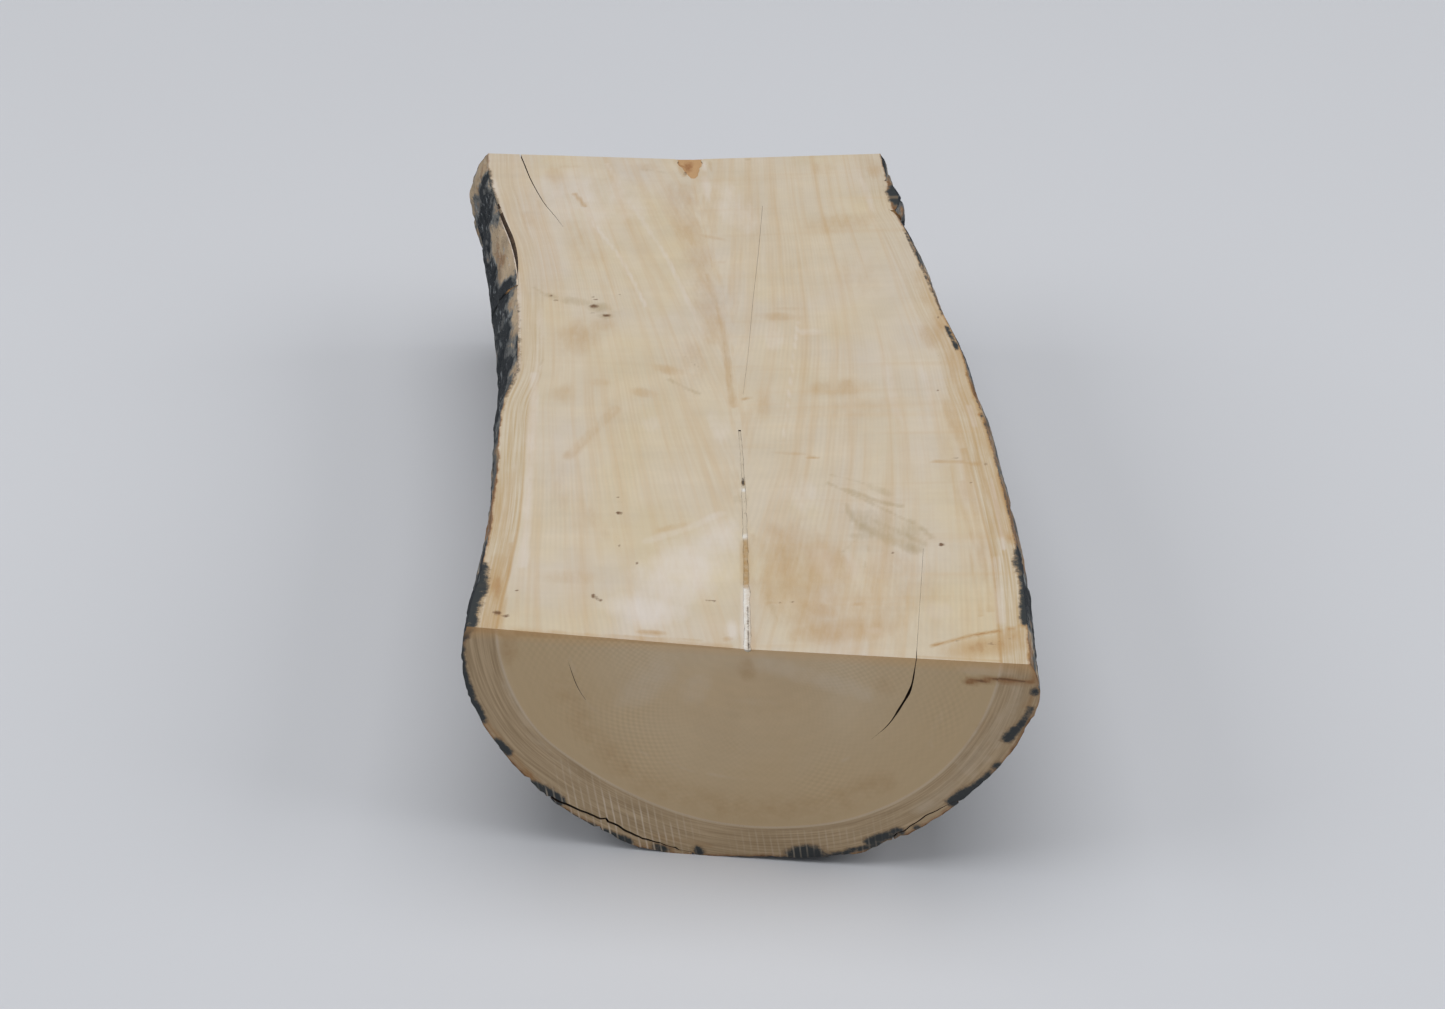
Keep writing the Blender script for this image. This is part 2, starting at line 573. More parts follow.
        Streak(((-33.8, 208), (-28.6, 192), (-22.6, 175), (-17.3, 160), (-11.3, 137), (-8, 124)), 1.9, 0.6),
        Streak(((14.8, 129), (10.3, 76)), 1.0, 0.6),
        Streak(((-58, 152), (-58.6, 168), (-61.2, 180), (-64, 196)), 7, 0.75),
        Streak(((-53.2, 106), (-53, 126), (-54.4, 150)), 5, 0.55),
        Streak(((-46, 28), (-46.6, 70), (-47.4, 104)), 3.4, 0.7), Spot(-36, 190, 56, 44, 0, 0.46),
        Spot(-48, 60, 90, 10, 90, 0.25), Spot(-19, 13, 26, 16, -8, 1.0), Spot(-12, 26, 28, 44, -25, 0.9),
        Spot(-5, 38, 14, 26, -20, 0.9), Streak(((-19.6, 37.6), (-11, 42.6), (-3.6, 48.4)), 4.0, 0.5),
        Spot(-1.4, 6, 4, 10, 0, 0.9), Spot(-37, 186, 30, 13, 100, 0.7), Spot(-2, 188, 34, 12, 98, 0.7),
        Spot(2, 180, 26, 14, 94, 0.5), Spot(-7.6, 196, 22, 3.4, 96, 0.9), Spot(-8.2, 208, 9, 2.2, 92, 1.0),
        Spot(9, 122, 22, 7, 92, 0.5), Spot(18, 124, 10, 5, 0, 0.5), Spot(-20, 84, 12, 12, 0, 0.4),
        Spot(-4, 84, 9, 22, 10, 0.5), Spot(14, 55, 14, 24, 10, 0.4), Spot(18, 30, 8, 20, 12, 0.45),
        Spot(25, 26, 5, 24, 10, 0.45), Spot(36, 96, 60, 4, 94, 0.4), Spot(50, 60, 56, 3.4, 93, 0.4),
        Streak(((57.2, 34), (56.4, 60)), 1.6, 0.7), Streak(((54.6, 8), (55.4, 30)), 3.4, 0.5),
        Spot(28, 5.6, 5, 4, 0, 0.6), Streak(((1.6, -2), (1.6, 22)), 3.0, 1.0),
        Spot(1.6, 40, 2.6, 4, 0, 1.0), Spot(1.2, 58, 2.4, 3, 0, 0.9), Spot(42, 12, 12, 10, 0, 0.4),
        Spot(34, 190, 40, 3, 98, 0.4), Spot(-30, 200, 12, 14, 0, 0.3),
        Streak(((53.4, 90), (54.2, 82)), 2.4, 0.7), Spot(44, 100, 40, 3, 96, 0.4),
        Spot(-47, 118, 50, 4, 92, 0.4),
    ),
)
# On the front end the plane is x by z, seen from the front.
FRONT_END = Coats(
    vivianite=(
        Streak(((-44.4, 16.4), (-41.6, 15), (-38.6, 12.6)), 5.0, 1.3), Spot(-17, 1.2, 7, 4.2, -10, 1.1),
        Spot(-8.6, 1.2, 4, 4.6, 0, 1.2), Spot(2, -0.2, 14, 3.0, 0, 1.0), Spot(14.4, 2.6, 13, 7.4, 12, 1.4),
        Streak(((6, 0.2), (20, 2.4), (30, 6.8)), 2.8, 1.0), Streak(((28, 7.4), (34.4, 10.8)), 4.2, 1.1),
        Spot(38.2, 12.6, 3.4, 3.0, 30, 1.1), Streak(((45.6, 20.4), (48.6, 23.4)), 4.8, 1.3),
        Streak(((49.2, 24.0), (52.4, 28.4)), 3.0, 1.0), Spot(54.2, 31.2, 4.6, 3.0, 55, 1.0),
        Streak(((55.8, 38.4), (57.4, 41)), 3.6, 1.3), Streak(((57.4, 41), (59, 43.6)), 2.6, 1.1),
        Streak(((58.6, 42.6), (60.4, 47)), 2.6, 0.9), Spot(60.8, 51.4, 3.6, 3.0, 90, 1.1),
        Streak(((-58.2, 59), (-58.6, 50), (-57.9, 44), (-56.4, 39), (-54.6, 34)), 4.0, 1.2),
        Spot(-57.2, 56.4, 6, 4.4, 60, 1.1), Streak(((-51.4, 28), (-49.4, 25.2)), 3.4, 1.2),
        Streak(((-42.4, 12.4), (-34, 6.4), (-24, 2.2)), 4.2, 1.2),
    ),
    iron=(
        Streak(((-53.4, 33), (-50.6, 28.6)), 1.6, 0.9), Streak(((-48.6, 25), (-43.4, 17.4)), 2.2, 1.0),
        Streak(((-56, 57.8), (-2, 57.4)), 1.6, 0.55), Spot(-48, 53, 14, 6, 84, 0.55),
        Streak(((47, 52.8), (53, 54), (59.6, 53.8)), 2.6, 1.3), Streak(((60, 56), (60.6, 53.6)), 2.0, 1.0),
        Streak(((59.4, 47.4), (60.4, 50)), 1.6, 0.9), Spot(1.6, 52, 6, 10, 0, 0.42),
        Streak(((-24, 2.8), (-14, 0.8)), 2.0, 0.6), Spot(47, 23, 10, 5, 50, 0.4),
        Streak(((-18, 4.6), (-6, 3)), 2.4, 0.35),
        Streak(((-36, 44), (-32, 31), (-20, 19), (0, 14), (18, 16), (30, 24)), 12, 0.22),
        Spot(50, 40, 20, 4, 66, 0.25), Spot(30, 50, 12, 8, 0, 0.2),
    ),
    dirt=(
        Spot(0, 40, 50, 26, 0, 0.14), Streak(((24, 9), (32, 14), (46, 26)), 3, 0.3),
    ),
    speck=(
        Streak(((47.6, 52.9), (53, 54), (58.4, 53.8)), 1.3, 0.9),
        Streak(((49, 53.6), (49, 52.6)), 0.9, 0.6), Streak(((51, 54), (51, 53)), 0.9, 0.6),
        Streak(((53.6, 54.4), (53.6, 53.4)), 0.9, 0.6),
    ),
    pale=(
        Spot(-19, 47, 26, 12, 50, 0.9), Spot(-9, 46, 14, 9, 60, 0.7),
        Streak(((5, 54), (14, 51.6), (26, 48)), 7, 0.85), Streak(((42, 20), (50, 32), (55, 44)), 7, 0.55),
        Spot(4, 43.6, 16, 3, 0, 0.35), Spot(40, 18.6, 12, 5, 38, 0.9),
        Streak(((53, 36), (56.4, 48), (57.4, 54)), 4.4, 0.55), Streak(((40, 35), (42, 44)), 3, 0.3),
        Streak(((-50, 56), (-49, 44), (-44, 30), (-34, 19)), 3.0, 0.4),
        Streak(((-35.4, 52), (-33, 42), (-28, 34), (-20, 27.6), (-10, 23.6), (2, 22)), 1.0, 0.45),
        Streak(((28, 35), (22, 29.4)), 0.9, 0.35), Spot(51, 56.2, 18, 4, 0, 0.9),
        Streak(((46, 31), (52, 42)), 2.2, 0.4),
    ),
)
# On the bark the plane is millimetres along the tusk by degrees round it, as stained from end to end.
BARK_SIDE = Coats(
    vivianite=(
        Spot(12, 8, 40, 26, 0, 1.2), Streak(((62, 6), (96, 4)), 12, 0.9),
        Streak(((94, 6), (146, 9)), 21, 1.3), Streak(((146, 10), (180, 14)), 12, 1.1),
        Streak(((180, 6), (196, 4)), 22, 1.3), Spot(30, 174, 54, 12, 0, 1.1), Spot(120, 176, 26, 10, 0),
        Spot(90, 174, 60, 8, 0, 0.6), Spot(166, 174, 60, 10, 0, 0.7), Spot(190, 173, 24, 16, 0, 1.2),
        Spot(30, 60, 60, 30, 0, 0.7), Spot(60, 100, 90, 16, 0, 0.8), Spot(40, 142, 90, 10, 0, 0.8),
        Spot(150, 60, 80, 24, 0, 0.6),
    ),
    iron=(
        Spot(46, 5, 16, 14, 0, 1.0), Spot(44, 172, 20, 10, 0, 0.8), Spot(84, 172, 30, 12, 0, 0.9),
        Spot(165, 4, 22, 6, 0, 0.7), Spot(200, 178, 6, 6, 0, 1.0), Spot(90, 40, 60, 14, 0, 0.6),
        Spot(120, 120, 90, 14, 0, 0.6),
    ),
    dirt=(Spot(106, 12, 200, 40, 0, 0.3),),
    speck=(Spot(120, 90, 40, 20, 0, 0.1),),
    pale=(
        Spot(207, 8, 16, 24, 0, 1.3), Streak(((150, 2), (178, 3)), 9, 1.2), Spot(104, 0, 16, 4, 0, 0.8),
        Spot(12, 18, 30, 5, 0, 0.8), Spot(120, 20, 60, 8, 0, 0.6), Spot(22, 172, 16, 6, 0, 0.6),
    ),
)


# What each vector attribute of a mesh holds; the materials read the parts by these names.
PAINT = {
    "grain": ("radius", "angle", "y"),
    "shell": ("below_skin", "past_junction", "cone"),
    "stain": ("vivianite", "iron", "dirt"),
    "mark": ("speck", "pale", "stroke"),
}


def paint_grain(mesh: bpy.types.Mesh, tusk: Tusk, outside: Surface) -> None:
    """Writes where each vertex lies in the grain, and what stains it, as the attributes of PAINT.

    Args:
        mesh: a mesh in the tusk's millimetres.
        tusk: the grain.
        outside: gives the radius of the bark's outside from angle and y.
    """
    points = mesh_points(mesh)
    x, true_y, z = points.T
    angle, radius, y = tusk.grain(points)
    below_skin = outside(angle, y) - radius
    share = np.clip(radius / tusk.junction(angle, y), 0, 1)
    # A stain reaches a few millimetres in from its own surface and fades out there.
    sawn = np.clip(1.3 - np.maximum(tusk.depth - z, 0) / 3.5, 0, 1)
    front = np.clip(1.2 - np.maximum(y, 0) / 1.6, 0, 1)
    bark = np.clip(1.2 - below_skin / 1.2, 0, 1)
    planes = (
        (SAWN_FACE, x, true_y, sawn * (1 - front * (z < tusk.depth - 1.4))),
        (FRONT_END, x, z, front),
        (BARK_SIDE, y, angle, bark * (1 - front)),
    )
    values = {
        kind: np.max([weigh(getattr(coats, kind), a, b) * seen for coats, a, b, seen in planes], axis=0)
        for kind in ("vivianite", "iron", "dirt", "speck", "pale")
    }
    # The saw's strokes show on the lower left rim, and faintly along the keel.
    strokes = smooth(38, 48, angle) * (1 - smooth(70, 84, angle)) * (1 - smooth(8, 14, below_skin))
    comb = smooth(80, 96, angle) * (1 - smooth(112, 134, angle)) * (1 - smooth(6, 9, below_skin)) * 0.35
    values |= {
        "radius": radius,
        "angle": angle,
        "y": y,
        "below_skin": below_skin,
        "past_junction": radius - tusk.junction(angle, y),
        "cone": radius - tusk.cone_slope * y * (1 - share ** 2),
        "stroke": np.maximum(strokes, comb),
    }
    for name, parts in PAINT.items():
        layer = mesh.attributes.new(name, "FLOAT_VECTOR", "POINT")
        stacked = np.stack([values[part] for part in parts], axis=-1)
        layer.data.foreach_set("vector", stacked.astype(np.float32).ravel())


# ------------------------------------------------------------------------------------------------ materials


class Graph:
    """A material's node tree, built node by node."""

    def __init__(self, name: str) -> None:
        """Starts an empty material."""
        self.material = bpy.data.materials.new(name)
        self.material.use_nodes = True
        self.tree = self.material.node_tree
        self.tree.nodes.clear()

    def add(self, kind: str, inputs: dict[int | str, object] | None = None, out: int | str = 0,
            **settings: object) -> Socket:
        """Adds one node.

        Args:
            kind: the node's type without its "ShaderNode" prefix.
            inputs: socket name or index to a value, or to the socket that feeds it.
            out: which output to give back.
            settings: the node's own settings.

        Returns:
            The chosen output socket.
        """
        node = self.tree.nodes.new("ShaderNode" + kind)
        for name, value in settings.items():
            setattr(node, name, value)
        for slot, value in (inputs or {}).items():
            if isinstance(value, Socket):
                self.tree.links.new(value, node.inputs[slot])
            else:
                node.inputs[slot].default_value = value
        return node.outputs[out] if node.outputs else node.inputs[0]


def read_paint(g: Graph, *layers: str) -> Paint:
    """Reads some of the painted attributes.

    Args:
        g: the material's nodes.
        layers: the attributes' names, as in PAINT.

    Returns:
        One socket for each named part.
    """
    paint = {}
    for layer in layers:
        vector = g.add("Attribute", attribute_name=layer, out="Vector")
        paint.update(zip(PAINT[layer], g.add("SeparateXYZ", {0: vector}).node.outputs))
    return paint


def every(size: float) -> float:
    """The scale, in repeats a metre, of a pattern that repeats every so many millimetres."""
    return 1 / (size * MM)


@dataclass(frozen=True)
class SawnIvory:
    """Dentine and cementum where a saw has cut them, rubbed smooth.

    Collagen in fine mineral gives a satin surface with soft highlights, an IOR of 1.54 and a warm, cloudy
    cream that shows its growth layers. Each kind of cut draws its own layers and saw marks. The cloud, patch,
    pore and wander of its patterns are sizes in millimetres.
    """

    name: str
    plain: str
    warm: str
    bark_light: str
    bark_dark: str
    pale: str
    iron: str
    rust: str
    dirt: str
    seam: str
    haze: float
    break_up: float
    rust_reach: float
    speck: str = "644326"
    halo: str = "86653f"
    vivianite: str = "272d30"
    slate: str = "59615f"
    roughness: float = 0.46
    cloud: float = 29.4
    patch: float = 11.8
    pore: float = 1.11
    wander: float = 16.7

    def build(self) -> bpy.types.Material:
        """Makes the material."""
        g = Graph(self.name)
        place = g.add("TexCoord", out="Object")
        paint = read_paint(g, *PAINT)
        colour = self.ground(g, place)
        colour = self.growth_lines(g, place, colour, paint)
        colour = self.bark_bands(g, place, colour, paint)
        colour = self.stains(g, place, colour, paint)
        colour, saw = self.saw_marks(g, place, colour, paint)
        # The dentine's pores are far finer than a millimetre; they are drawn this coarse to show at all.
        fine = g.add("TexNoise", {"Vector": place, "Scale": every(self.pore), "Detail": 2.0})
        height = g.add("Math", {0: saw, 1: 0.5, 2: fine}, operation="MULTIPLY_ADD")
        bump = g.add("Bump", {"Strength": 0.35, "Distance": 0.06 * MM, "Height": height})
        smoothest, roughest = self.roughness - 0.06, self.roughness + 0.08
        satin = g.add("MapRange", {0: fine, 1: 0.3, 2: 0.7, 3: smoothest, 4: roughest})
        shader = g.add("BsdfPrincipled", {"Base Color": colour, "Roughness": satin, "IOR": 1.54,
                                          "Specular IOR Level": 0.35, "Normal": bump})
        g.add("OutputMaterial", {"Surface": shader})
        return g.material

    def ground(self, g: Graph, place: Socket) -> Socket:
        """The cloudy ground colour, its clouds drawn out along the tusk."""
        drawn = g.add("Mapping", {0: place, 3: (1.0, 0.5, 1.0)})
        cloud = g.add("TexNoise", {"Vector": drawn, "Scale": every(self.cloud), "Detail": 4.0,
                                   "Roughness": 0.55, "Distortion": 0.4})
        blend = g.add("MapRange", {0: cloud, 1: 0.36, 2: 0.66})
        base = g.add("Mix", {0: blend, 6: linear(self.plain), 7: linear(self.warm)}, data_type="RGBA", out=2)
        patch = g.add("TexNoise", {"Vector": place, "Scale": every(self.patch), "Detail": 3.0,
                                   "Roughness": 0.6})
        tone = g.add("MapRange", {0: patch, 1: 0.3, 2: 0.7, 3: 0.955, 4: 1.04})
        return g.add("VectorMath", {0: base, "Scale": tone}, operation="SCALE")

    def patchiness(self, g: Graph, place: Socket) -> Socket:
        """How plainly the growth layers show from place to place."""
        patchy = g.add("TexNoise", {"Vector": place, "Scale": every(self.cloud), "Detail": 2.0, "W": 3.0},
                       noise_dimensions="4D")
        return g.add("MapRange", {0: patchy, 1: 0.42, 2: 0.62, 3: 0.15, 4: 1.0})

    def growth_lines(self, g: Graph, place: Socket, colour: Socket, paint: Paint) -> Socket:
        """Draws the growth layers as this cut shows them."""
        raise NotImplementedError

    def saw_marks(self, g: Graph, place: Socket, colour: Socket, paint: Paint) -> tuple[Socket, Socket]:
        """Draws what the saw left, and gives the colour and a height for the bump."""
        raise NotImplementedError

    def rim_shares(self, g: Graph, paint: Paint) -> tuple[Socket | float, Socket | float]:
        """How strongly the bark's bands show, and its seam with the dentine."""
        raise NotImplementedError

    def bark_bands(self, g: Graph, place: Socket, colour: Socket, paint: Paint) -> Socket:
        """Draws the cementum's fine bands, its seam with the dentine, and its dark outer rim."""
        bands_shown, seam_shown = self.rim_shares(g, paint)
        depth, past = paint["below_skin"], paint["past_junction"]
        # The bands are about 0.5 mm apart across, 30 mm long and wide, so they follow the growth layers.
        far = g.add("Math", {0: paint["y"], 1: 0.018}, operation="MULTIPLY")
        turn = g.add("Math", {0: paint["angle"], 1: 0.03}, operation="MULTIPLY")
        where = g.add("CombineXYZ", {0: past, 1: far, 2: turn})
        bands = g.add("TexNoise", {"Vector": where, "Scale": 1.9, "Detail": 3.0, "Roughness": 0.6})
        mix = g.add("MapRange", {0: bands, 1: 0.36, 2: 0.66})
        bark = g.add("Mix", {0: mix, 6: linear(self.bark_light), 7: linear(self.bark_dark)},
                     data_type="RGBA", out=2)
        wander = g.add("TexNoise", {"Vector": place, "Scale": every(22.2), "Detail": 3.0})
        edge = g.add("Math", {0: wander, 1: 1.4, 2: past}, operation="MULTIPLY_ADD")
        inside = g.add("MapRange", {0: edge, 1: 0.3, 2: 1.1, 3: 0.0, 4: bands_shown})
        colour = g.add("Mix", {0: inside, 6: colour, 7: bark}, data_type="RGBA", out=2)
        off = g.add("Math", {0: past}, operation="ABSOLUTE")
        line = g.add("MapRange", {0: off, 1: 0.08, 2: 0.5, 3: seam_shown, 4: 0.0})
        colour = g.add("Mix", {0: line, 6: colour, 7: linear(self.seam)}, data_type="RGBA", out=2)
        ragged = g.add("TexNoise", {"Vector": place, "Scale": every(4.17), "Detail": 4.0, "Roughness": 0.65})
        rough_depth = g.add("Math", {0: ragged, 1: -2.0, 2: depth}, operation="MULTIPLY_ADD")
        rust = g.add("MapRange", {0: rough_depth, 1: -1.0, 2: self.rust_reach, 3: 0.75, 4: 0.0})
        colour = g.add("Mix", {0: rust, 6: colour, 7: linear(self.rust)}, data_type="RGBA", out=2)
        skin = g.add("MapRange", {0: rough_depth, 1: -1.1, 2: -0.75, 3: 0.9, 4: 0.0})
        return g.add("Mix", {0: skin, 6: colour, 7: linear(self.speck)}, data_type="RGBA", out=2)

    def stains(self, g: Graph, place: Socket, colour: Socket, paint: Paint) -> Socket:
        """Lays the painted stains over the ground, each with a broken edge.

        A coat is what is painted, the noise that breaks its edge, how far it breaks it, where the coat begins
        and is full, its greatest share and its colour.
        """
        ragged = g.add("TexNoise", {"Vector": place, "Scale": every(1.92), "Detail": 5.0, "Roughness": 0.75})
        drawn = g.add("Mapping", {0: place, 3: (1.0, 0.3, 1.0)})
        soft = g.add("TexNoise", {"Vector": drawn, "Scale": every(3.85), "Detail": 5.0, "Roughness": 0.65})
        coats = (
            ("pale", soft, 1.6, 0.1, 1.3, self.haze, self.pale),
            ("iron", soft, 1.6, 0.0, 1.3, 0.85, self.iron),
            ("iron", soft, 1.2, 0.8, 1.5, 0.8, self.rust),
            ("dirt", soft, 2.4, 0.1, 1.6, 0.7, self.dirt),
            ("vivianite", ragged, self.break_up, 0.05, 0.6, 0.65, self.halo),
            ("vivianite", ragged, self.break_up, 0.3, 0.9, 0.6, self.slate),
            ("vivianite", ragged, self.break_up, 0.5, 1.0, 0.97, self.vivianite),
            ("speck", ragged, 1.2, 0.45, 0.95, 0.9, self.speck),
        )
        for part, edge, spread, low, high, most, code in coats:
            centred = g.add("Math", {0: edge, 1: spread, 2: -spread / 2}, operation="MULTIPLY_ADD")
            uneven = g.add("Math", {0: centred, 1: paint[part]}, operation="ADD")
            present = g.add("MapRange", {0: paint[part], 1: 0.0, 2: 0.25})
            limit = g.add("MapRange", {0: uneven, 1: low, 2: high, 3: 0.0, 4: most})
            amount = g.add("Math", {0: limit, 1: present}, operation="MULTIPLY")
            colour = g.add("Mix", {0: amount, 6: colour, 7: linear(code)}, data_type="RGBA", out=2)
        return colour


@dataclass(frozen=True)
class RippedIvory(SawnIvory):
    """Ivory ripped along its length and rubbed: cream, with long faint flames and fine lines across.

    A growth layer is 1.3 mm thick.
    """

    name: str = "Mammoth ivory, rip-sawn and rubbed"
    plain: str = "c9bdad"
    warm: str = "cabb9f"
    bark_light: str = "c9bda8"
    bark_dark: str = "b59c76"
    pale: str = "d9d1cb"
    iron: str = "b08b57"
    rust: str = "94602f"
    dirt: str = "9b875f"
    seam: str = "b08b57"
    peach: str = "c0a37c"
    haze: float = 0.7
    break_up: float = 2.6
    rust_reach: float = -0.5
    layer: float = 1.3

    def growth_lines(self, g: Graph, place: Socket, colour: Socket, paint: Paint) -> Socket:
        """Draws the nested growth cones: fine lines, and broader peach-coloured flames."""
        wander = g.add("TexNoise", {"Vector": place, "Scale": every(self.wander), "Detail": 2.0})
        phase = g.add("Math", {0: paint["cone"], 1: 2 * math.pi / self.layer}, operation="MULTIPLY")
        bent = g.add("Math", {0: wander, 1: 9.0, 2: phase}, operation="MULTIPLY_ADD")
        wave = g.add("Math", {0: bent}, operation="SINE")
        depth = g.add("Math", {0: wave, 1: self.patchiness(g, place)}, operation="MULTIPLY")
        tone = g.add("MapRange", {0: depth, 1: -1.0, 2: 1.0, 3: 0.975, 4: 1.016})
        lined = g.add("VectorMath", {0: colour, "Scale": tone}, operation="SCALE")
        # The flames are about 4 mm wide and 110 mm long.
        across = g.add("Math", {0: paint["cone"], 1: 0.26}, operation="MULTIPLY")
        along = g.add("Math", {0: paint["y"], 1: 0.009}, operation="MULTIPLY")
        turn = g.add("Math", {0: paint["angle"], 1: 0.02}, operation="MULTIPLY")
        where = g.add("CombineXYZ", {0: across, 1: along, 2: turn})
        flame = g.add("TexNoise", {"Vector": where, "Scale": 1.0, "Detail": 4.0, "Roughness": 0.65})
        amount = g.add("MapRange", {0: flame, 1: 0.46, 2: 0.72, 3: 0.0, 4: 0.5})
        return g.add("Mix", {0: amount, 6: lined, 7: linear(self.peach)}, data_type="RGBA", out=2)

    def saw_marks(self, g: Graph, place: Socket, colour: Socket, paint: Paint) -> tuple[Socket, Socket]:
        """Draws fine lines across the cut, about 1.6 mm apart, and peach streaks, most on the right."""
        fine = g.add("Mapping", {0: place, 3: (every(33.3), every(1.61), every(33.3))})
        lines = g.add("TexNoise", {"Vector": fine, "Scale": 1.0, "Detail": 3.0})
        tone = g.add("MapRange", {0: lines, 1: 0.25, 2: 0.75, 3: 0.983, 4: 1.017})
        toned = g.add("VectorMath", {0: colour, "Scale": tone}, operation="SCALE")
        broad = g.add("Mapping", {0: place, 3: (every(62.5), every(4.17), every(62.5))})
        streaks = g.add("TexNoise", {"Vector": broad, "Scale": 1.0, "Detail": 3.0})
        right = g.add("MapRange", {0: paint["angle"], 1: 60.0, 2: 120.0, 3: 0.08, 4: 0.3})
        seen = g.add("MapRange", {0: streaks, 1: 0.58, 2: 0.8, 3: 0.0, 4: right})
        return g.add("Mix", {0: seen, 6: toned, 7: linear(self.peach)}, data_type="RGBA", out=2), lines

    def rim_shares(self, g: Graph, paint: Paint) -> tuple[Socket | float, Socket | float]:
        """The bands and the seam are plain in front and fade towards the rear end."""
        bands = g.add("MapRange", {0: paint["y"], 1: 60.0, 2: 150.0, 3: 0.85, 4: 0.35})
        seam = g.add("MapRange", {0: paint["y"], 1: 30.0, 2: 90.0, 3: 0.6, 4: 0.12})
        return bands, seam


@dataclass(frozen=True)
class CrosscutIvory(SawnIvory):
    """Ivory sawn across: end grain drinks the light, so it is olive, with rings and crossed arcs.

    The arc, ring and stroke are spacings in millimetres; arcs_round is how many arcs run each way round.
    """

    name: str = "Mammoth ivory, crosscut"
    plain: str = "cfb999"
    warm: str = "cab08b"
    bark_light: str = "bea584"
    bark_dark: str = "9b8260"
    pale: str = "d6c6b0"
    iron: str = "a57d4e"
    rust: str = "8c5a30"
    dirt: str = "a89270"
    seam: str = "d6c6b0"
    heart: str = "c2a881"
    glow: str = "d9a86c"
    haze: float = 0.45
    break_up: float = 1.9
    rust_reach: float = -0.1
    arc: float = 1.45
    arcs_round: float = 118.0
    ring: float = 2.6
    stroke: float = 1.52

    def growth_lines(self, g: Graph, place: Socket, colour: Socket, paint: Paint) -> Socket:
        """Draws crossed Schreger arcs over faint rings.

        The real arcs are 0.9 to 1.0 mm apart. They are drawn 1.45 mm apart, or they wouldn't show at all.
        """
        wander = g.add("TexNoise", {"Vector": place, "Scale": every(self.wander), "Detail": 2.0})
        inner = g.add("Math", {0: paint["radius"], 1: 2 * math.pi / self.arc}, operation="MULTIPLY")
        phase = g.add("Math", {0: wander, 1: 4.0, 2: inner}, operation="MULTIPLY_ADD")
        arcs = []
        turns = math.radians(self.arcs_round)
        for way in (turns, -turns):
            turned = g.add("Math", {0: paint["angle"], 1: way, 2: phase}, operation="MULTIPLY_ADD")
            arcs.append(g.add("Math", {0: turned}, operation="SINE"))
        crossed = g.add("Math", {0: arcs[0], 1: arcs[1]}, operation="ADD")
        past = paint["past_junction"]
        begin = g.add("MapRange", {0: paint["radius"], 1: 9.0, 2: 20.0})
        finish = g.add("MapRange", {0: past, 1: -7.0, 2: -1.5, 3: 1.0, 4: 0.0})
        zone = g.add("Math", {0: begin, 1: finish}, operation="MULTIPLY")
        weight = g.add("Math", {0: zone, 1: self.patchiness(g, place)}, operation="MULTIPLY")
        schreger = g.add("Math", {0: crossed, 1: weight}, operation="MULTIPLY")
        ring_phase = g.add("Math", {0: past, 1: 2 * math.pi / self.ring}, operation="MULTIPLY")
        ring_bent = g.add("Math", {0: wander, 1: 5.0, 2: ring_phase}, operation="MULTIPLY_ADD")
        rings = g.add("Math", {0: ring_bent}, operation="SINE")
        both = g.add("Math", {0: rings, 1: 0.16, 2: schreger}, operation="MULTIPLY_ADD")
        tone = g.add("MapRange", {0: both, 1: -2.0, 2: 2.0, 3: 0.9, 4: 1.1})
        outwards = g.add("MapRange", {0: paint["radius"], 1: 12.0, 2: 44.0, 3: 0.0, 4: 0.85})
        browned = g.add("Mix", {0: outwards, 6: colour, 7: linear(self.heart)}, data_type="RGBA", out=2)
        return g.add("VectorMath", {0: browned, "Scale": tone}, operation="SCALE")

    def saw_marks(self, g: Graph, place: Socket, colour: Socket, paint: Paint) -> tuple[Socket, Socket]:
        """Draws pale, slightly slanted strokes every 1.5 mm where the saw's marks are painted."""
        slanted = g.add("VectorMath", {0: place, 1: (-1.0, 0.0, -0.13)}, operation="DOT_PRODUCT", out="Value")
        phase = g.add("Math", {0: slanted, 1: 2 * math.pi * every(self.stroke)}, operation="MULTIPLY")
        wander = g.add("TexNoise", {"Vector": place, "Scale": every(6.67), "Detail": 2.0})
        bent = g.add("Math", {0: wander, 1: 1.8, 2: phase}, operation="MULTIPLY_ADD")
        wave = g.add("Math", {0: bent}, operation="SINE")
        narrow = g.add("MapRange", {0: wave, 1: 0.5, 2: 1.0})
        weight = g.add("Math", {0: narrow, 1: paint["stroke"]}, operation="MULTIPLY")
        broken = g.add("MapRange", {0: wander, 1: 0.38, 2: 0.62, 3: 0.1, 4: 0.8})
        faded = g.add("Math", {0: weight, 1: broken}, operation="MULTIPLY")
        marked = g.add("Mix", {0: faded, 6: colour, 7: linear(self.pale)}, data_type="RGBA", out=2)
        return self.arris(g, marked, paint), narrow

    def arris(self, g: Graph, colour: Socket, paint: Paint) -> Socket:
        """Warms the cut just below the sawn face, where light comes through the sharp edge."""
        turn = g.add("Math", {0: paint["angle"]}, operation="RADIANS")
        sine = g.add("Math", {0: turn}, operation="SINE")
        deep = g.add("Math", {0: sine, 1: paint["radius"]}, operation="MULTIPLY")
        glow = g.add("MapRange", {0: deep, 1: 0.3, 2: 3.4, 3: 0.5, 4: 0.0})
        return g.add("Mix", {0: glow, 6: colour, 7: linear(self.glow)}, data_type="RGBA", out=2)

    def rim_shares(self, g: Graph, paint: Paint) -> tuple[Socket | float, Socket | float]:
        """The bands and the pale seam show evenly all round."""
        return 0.9, 0.42


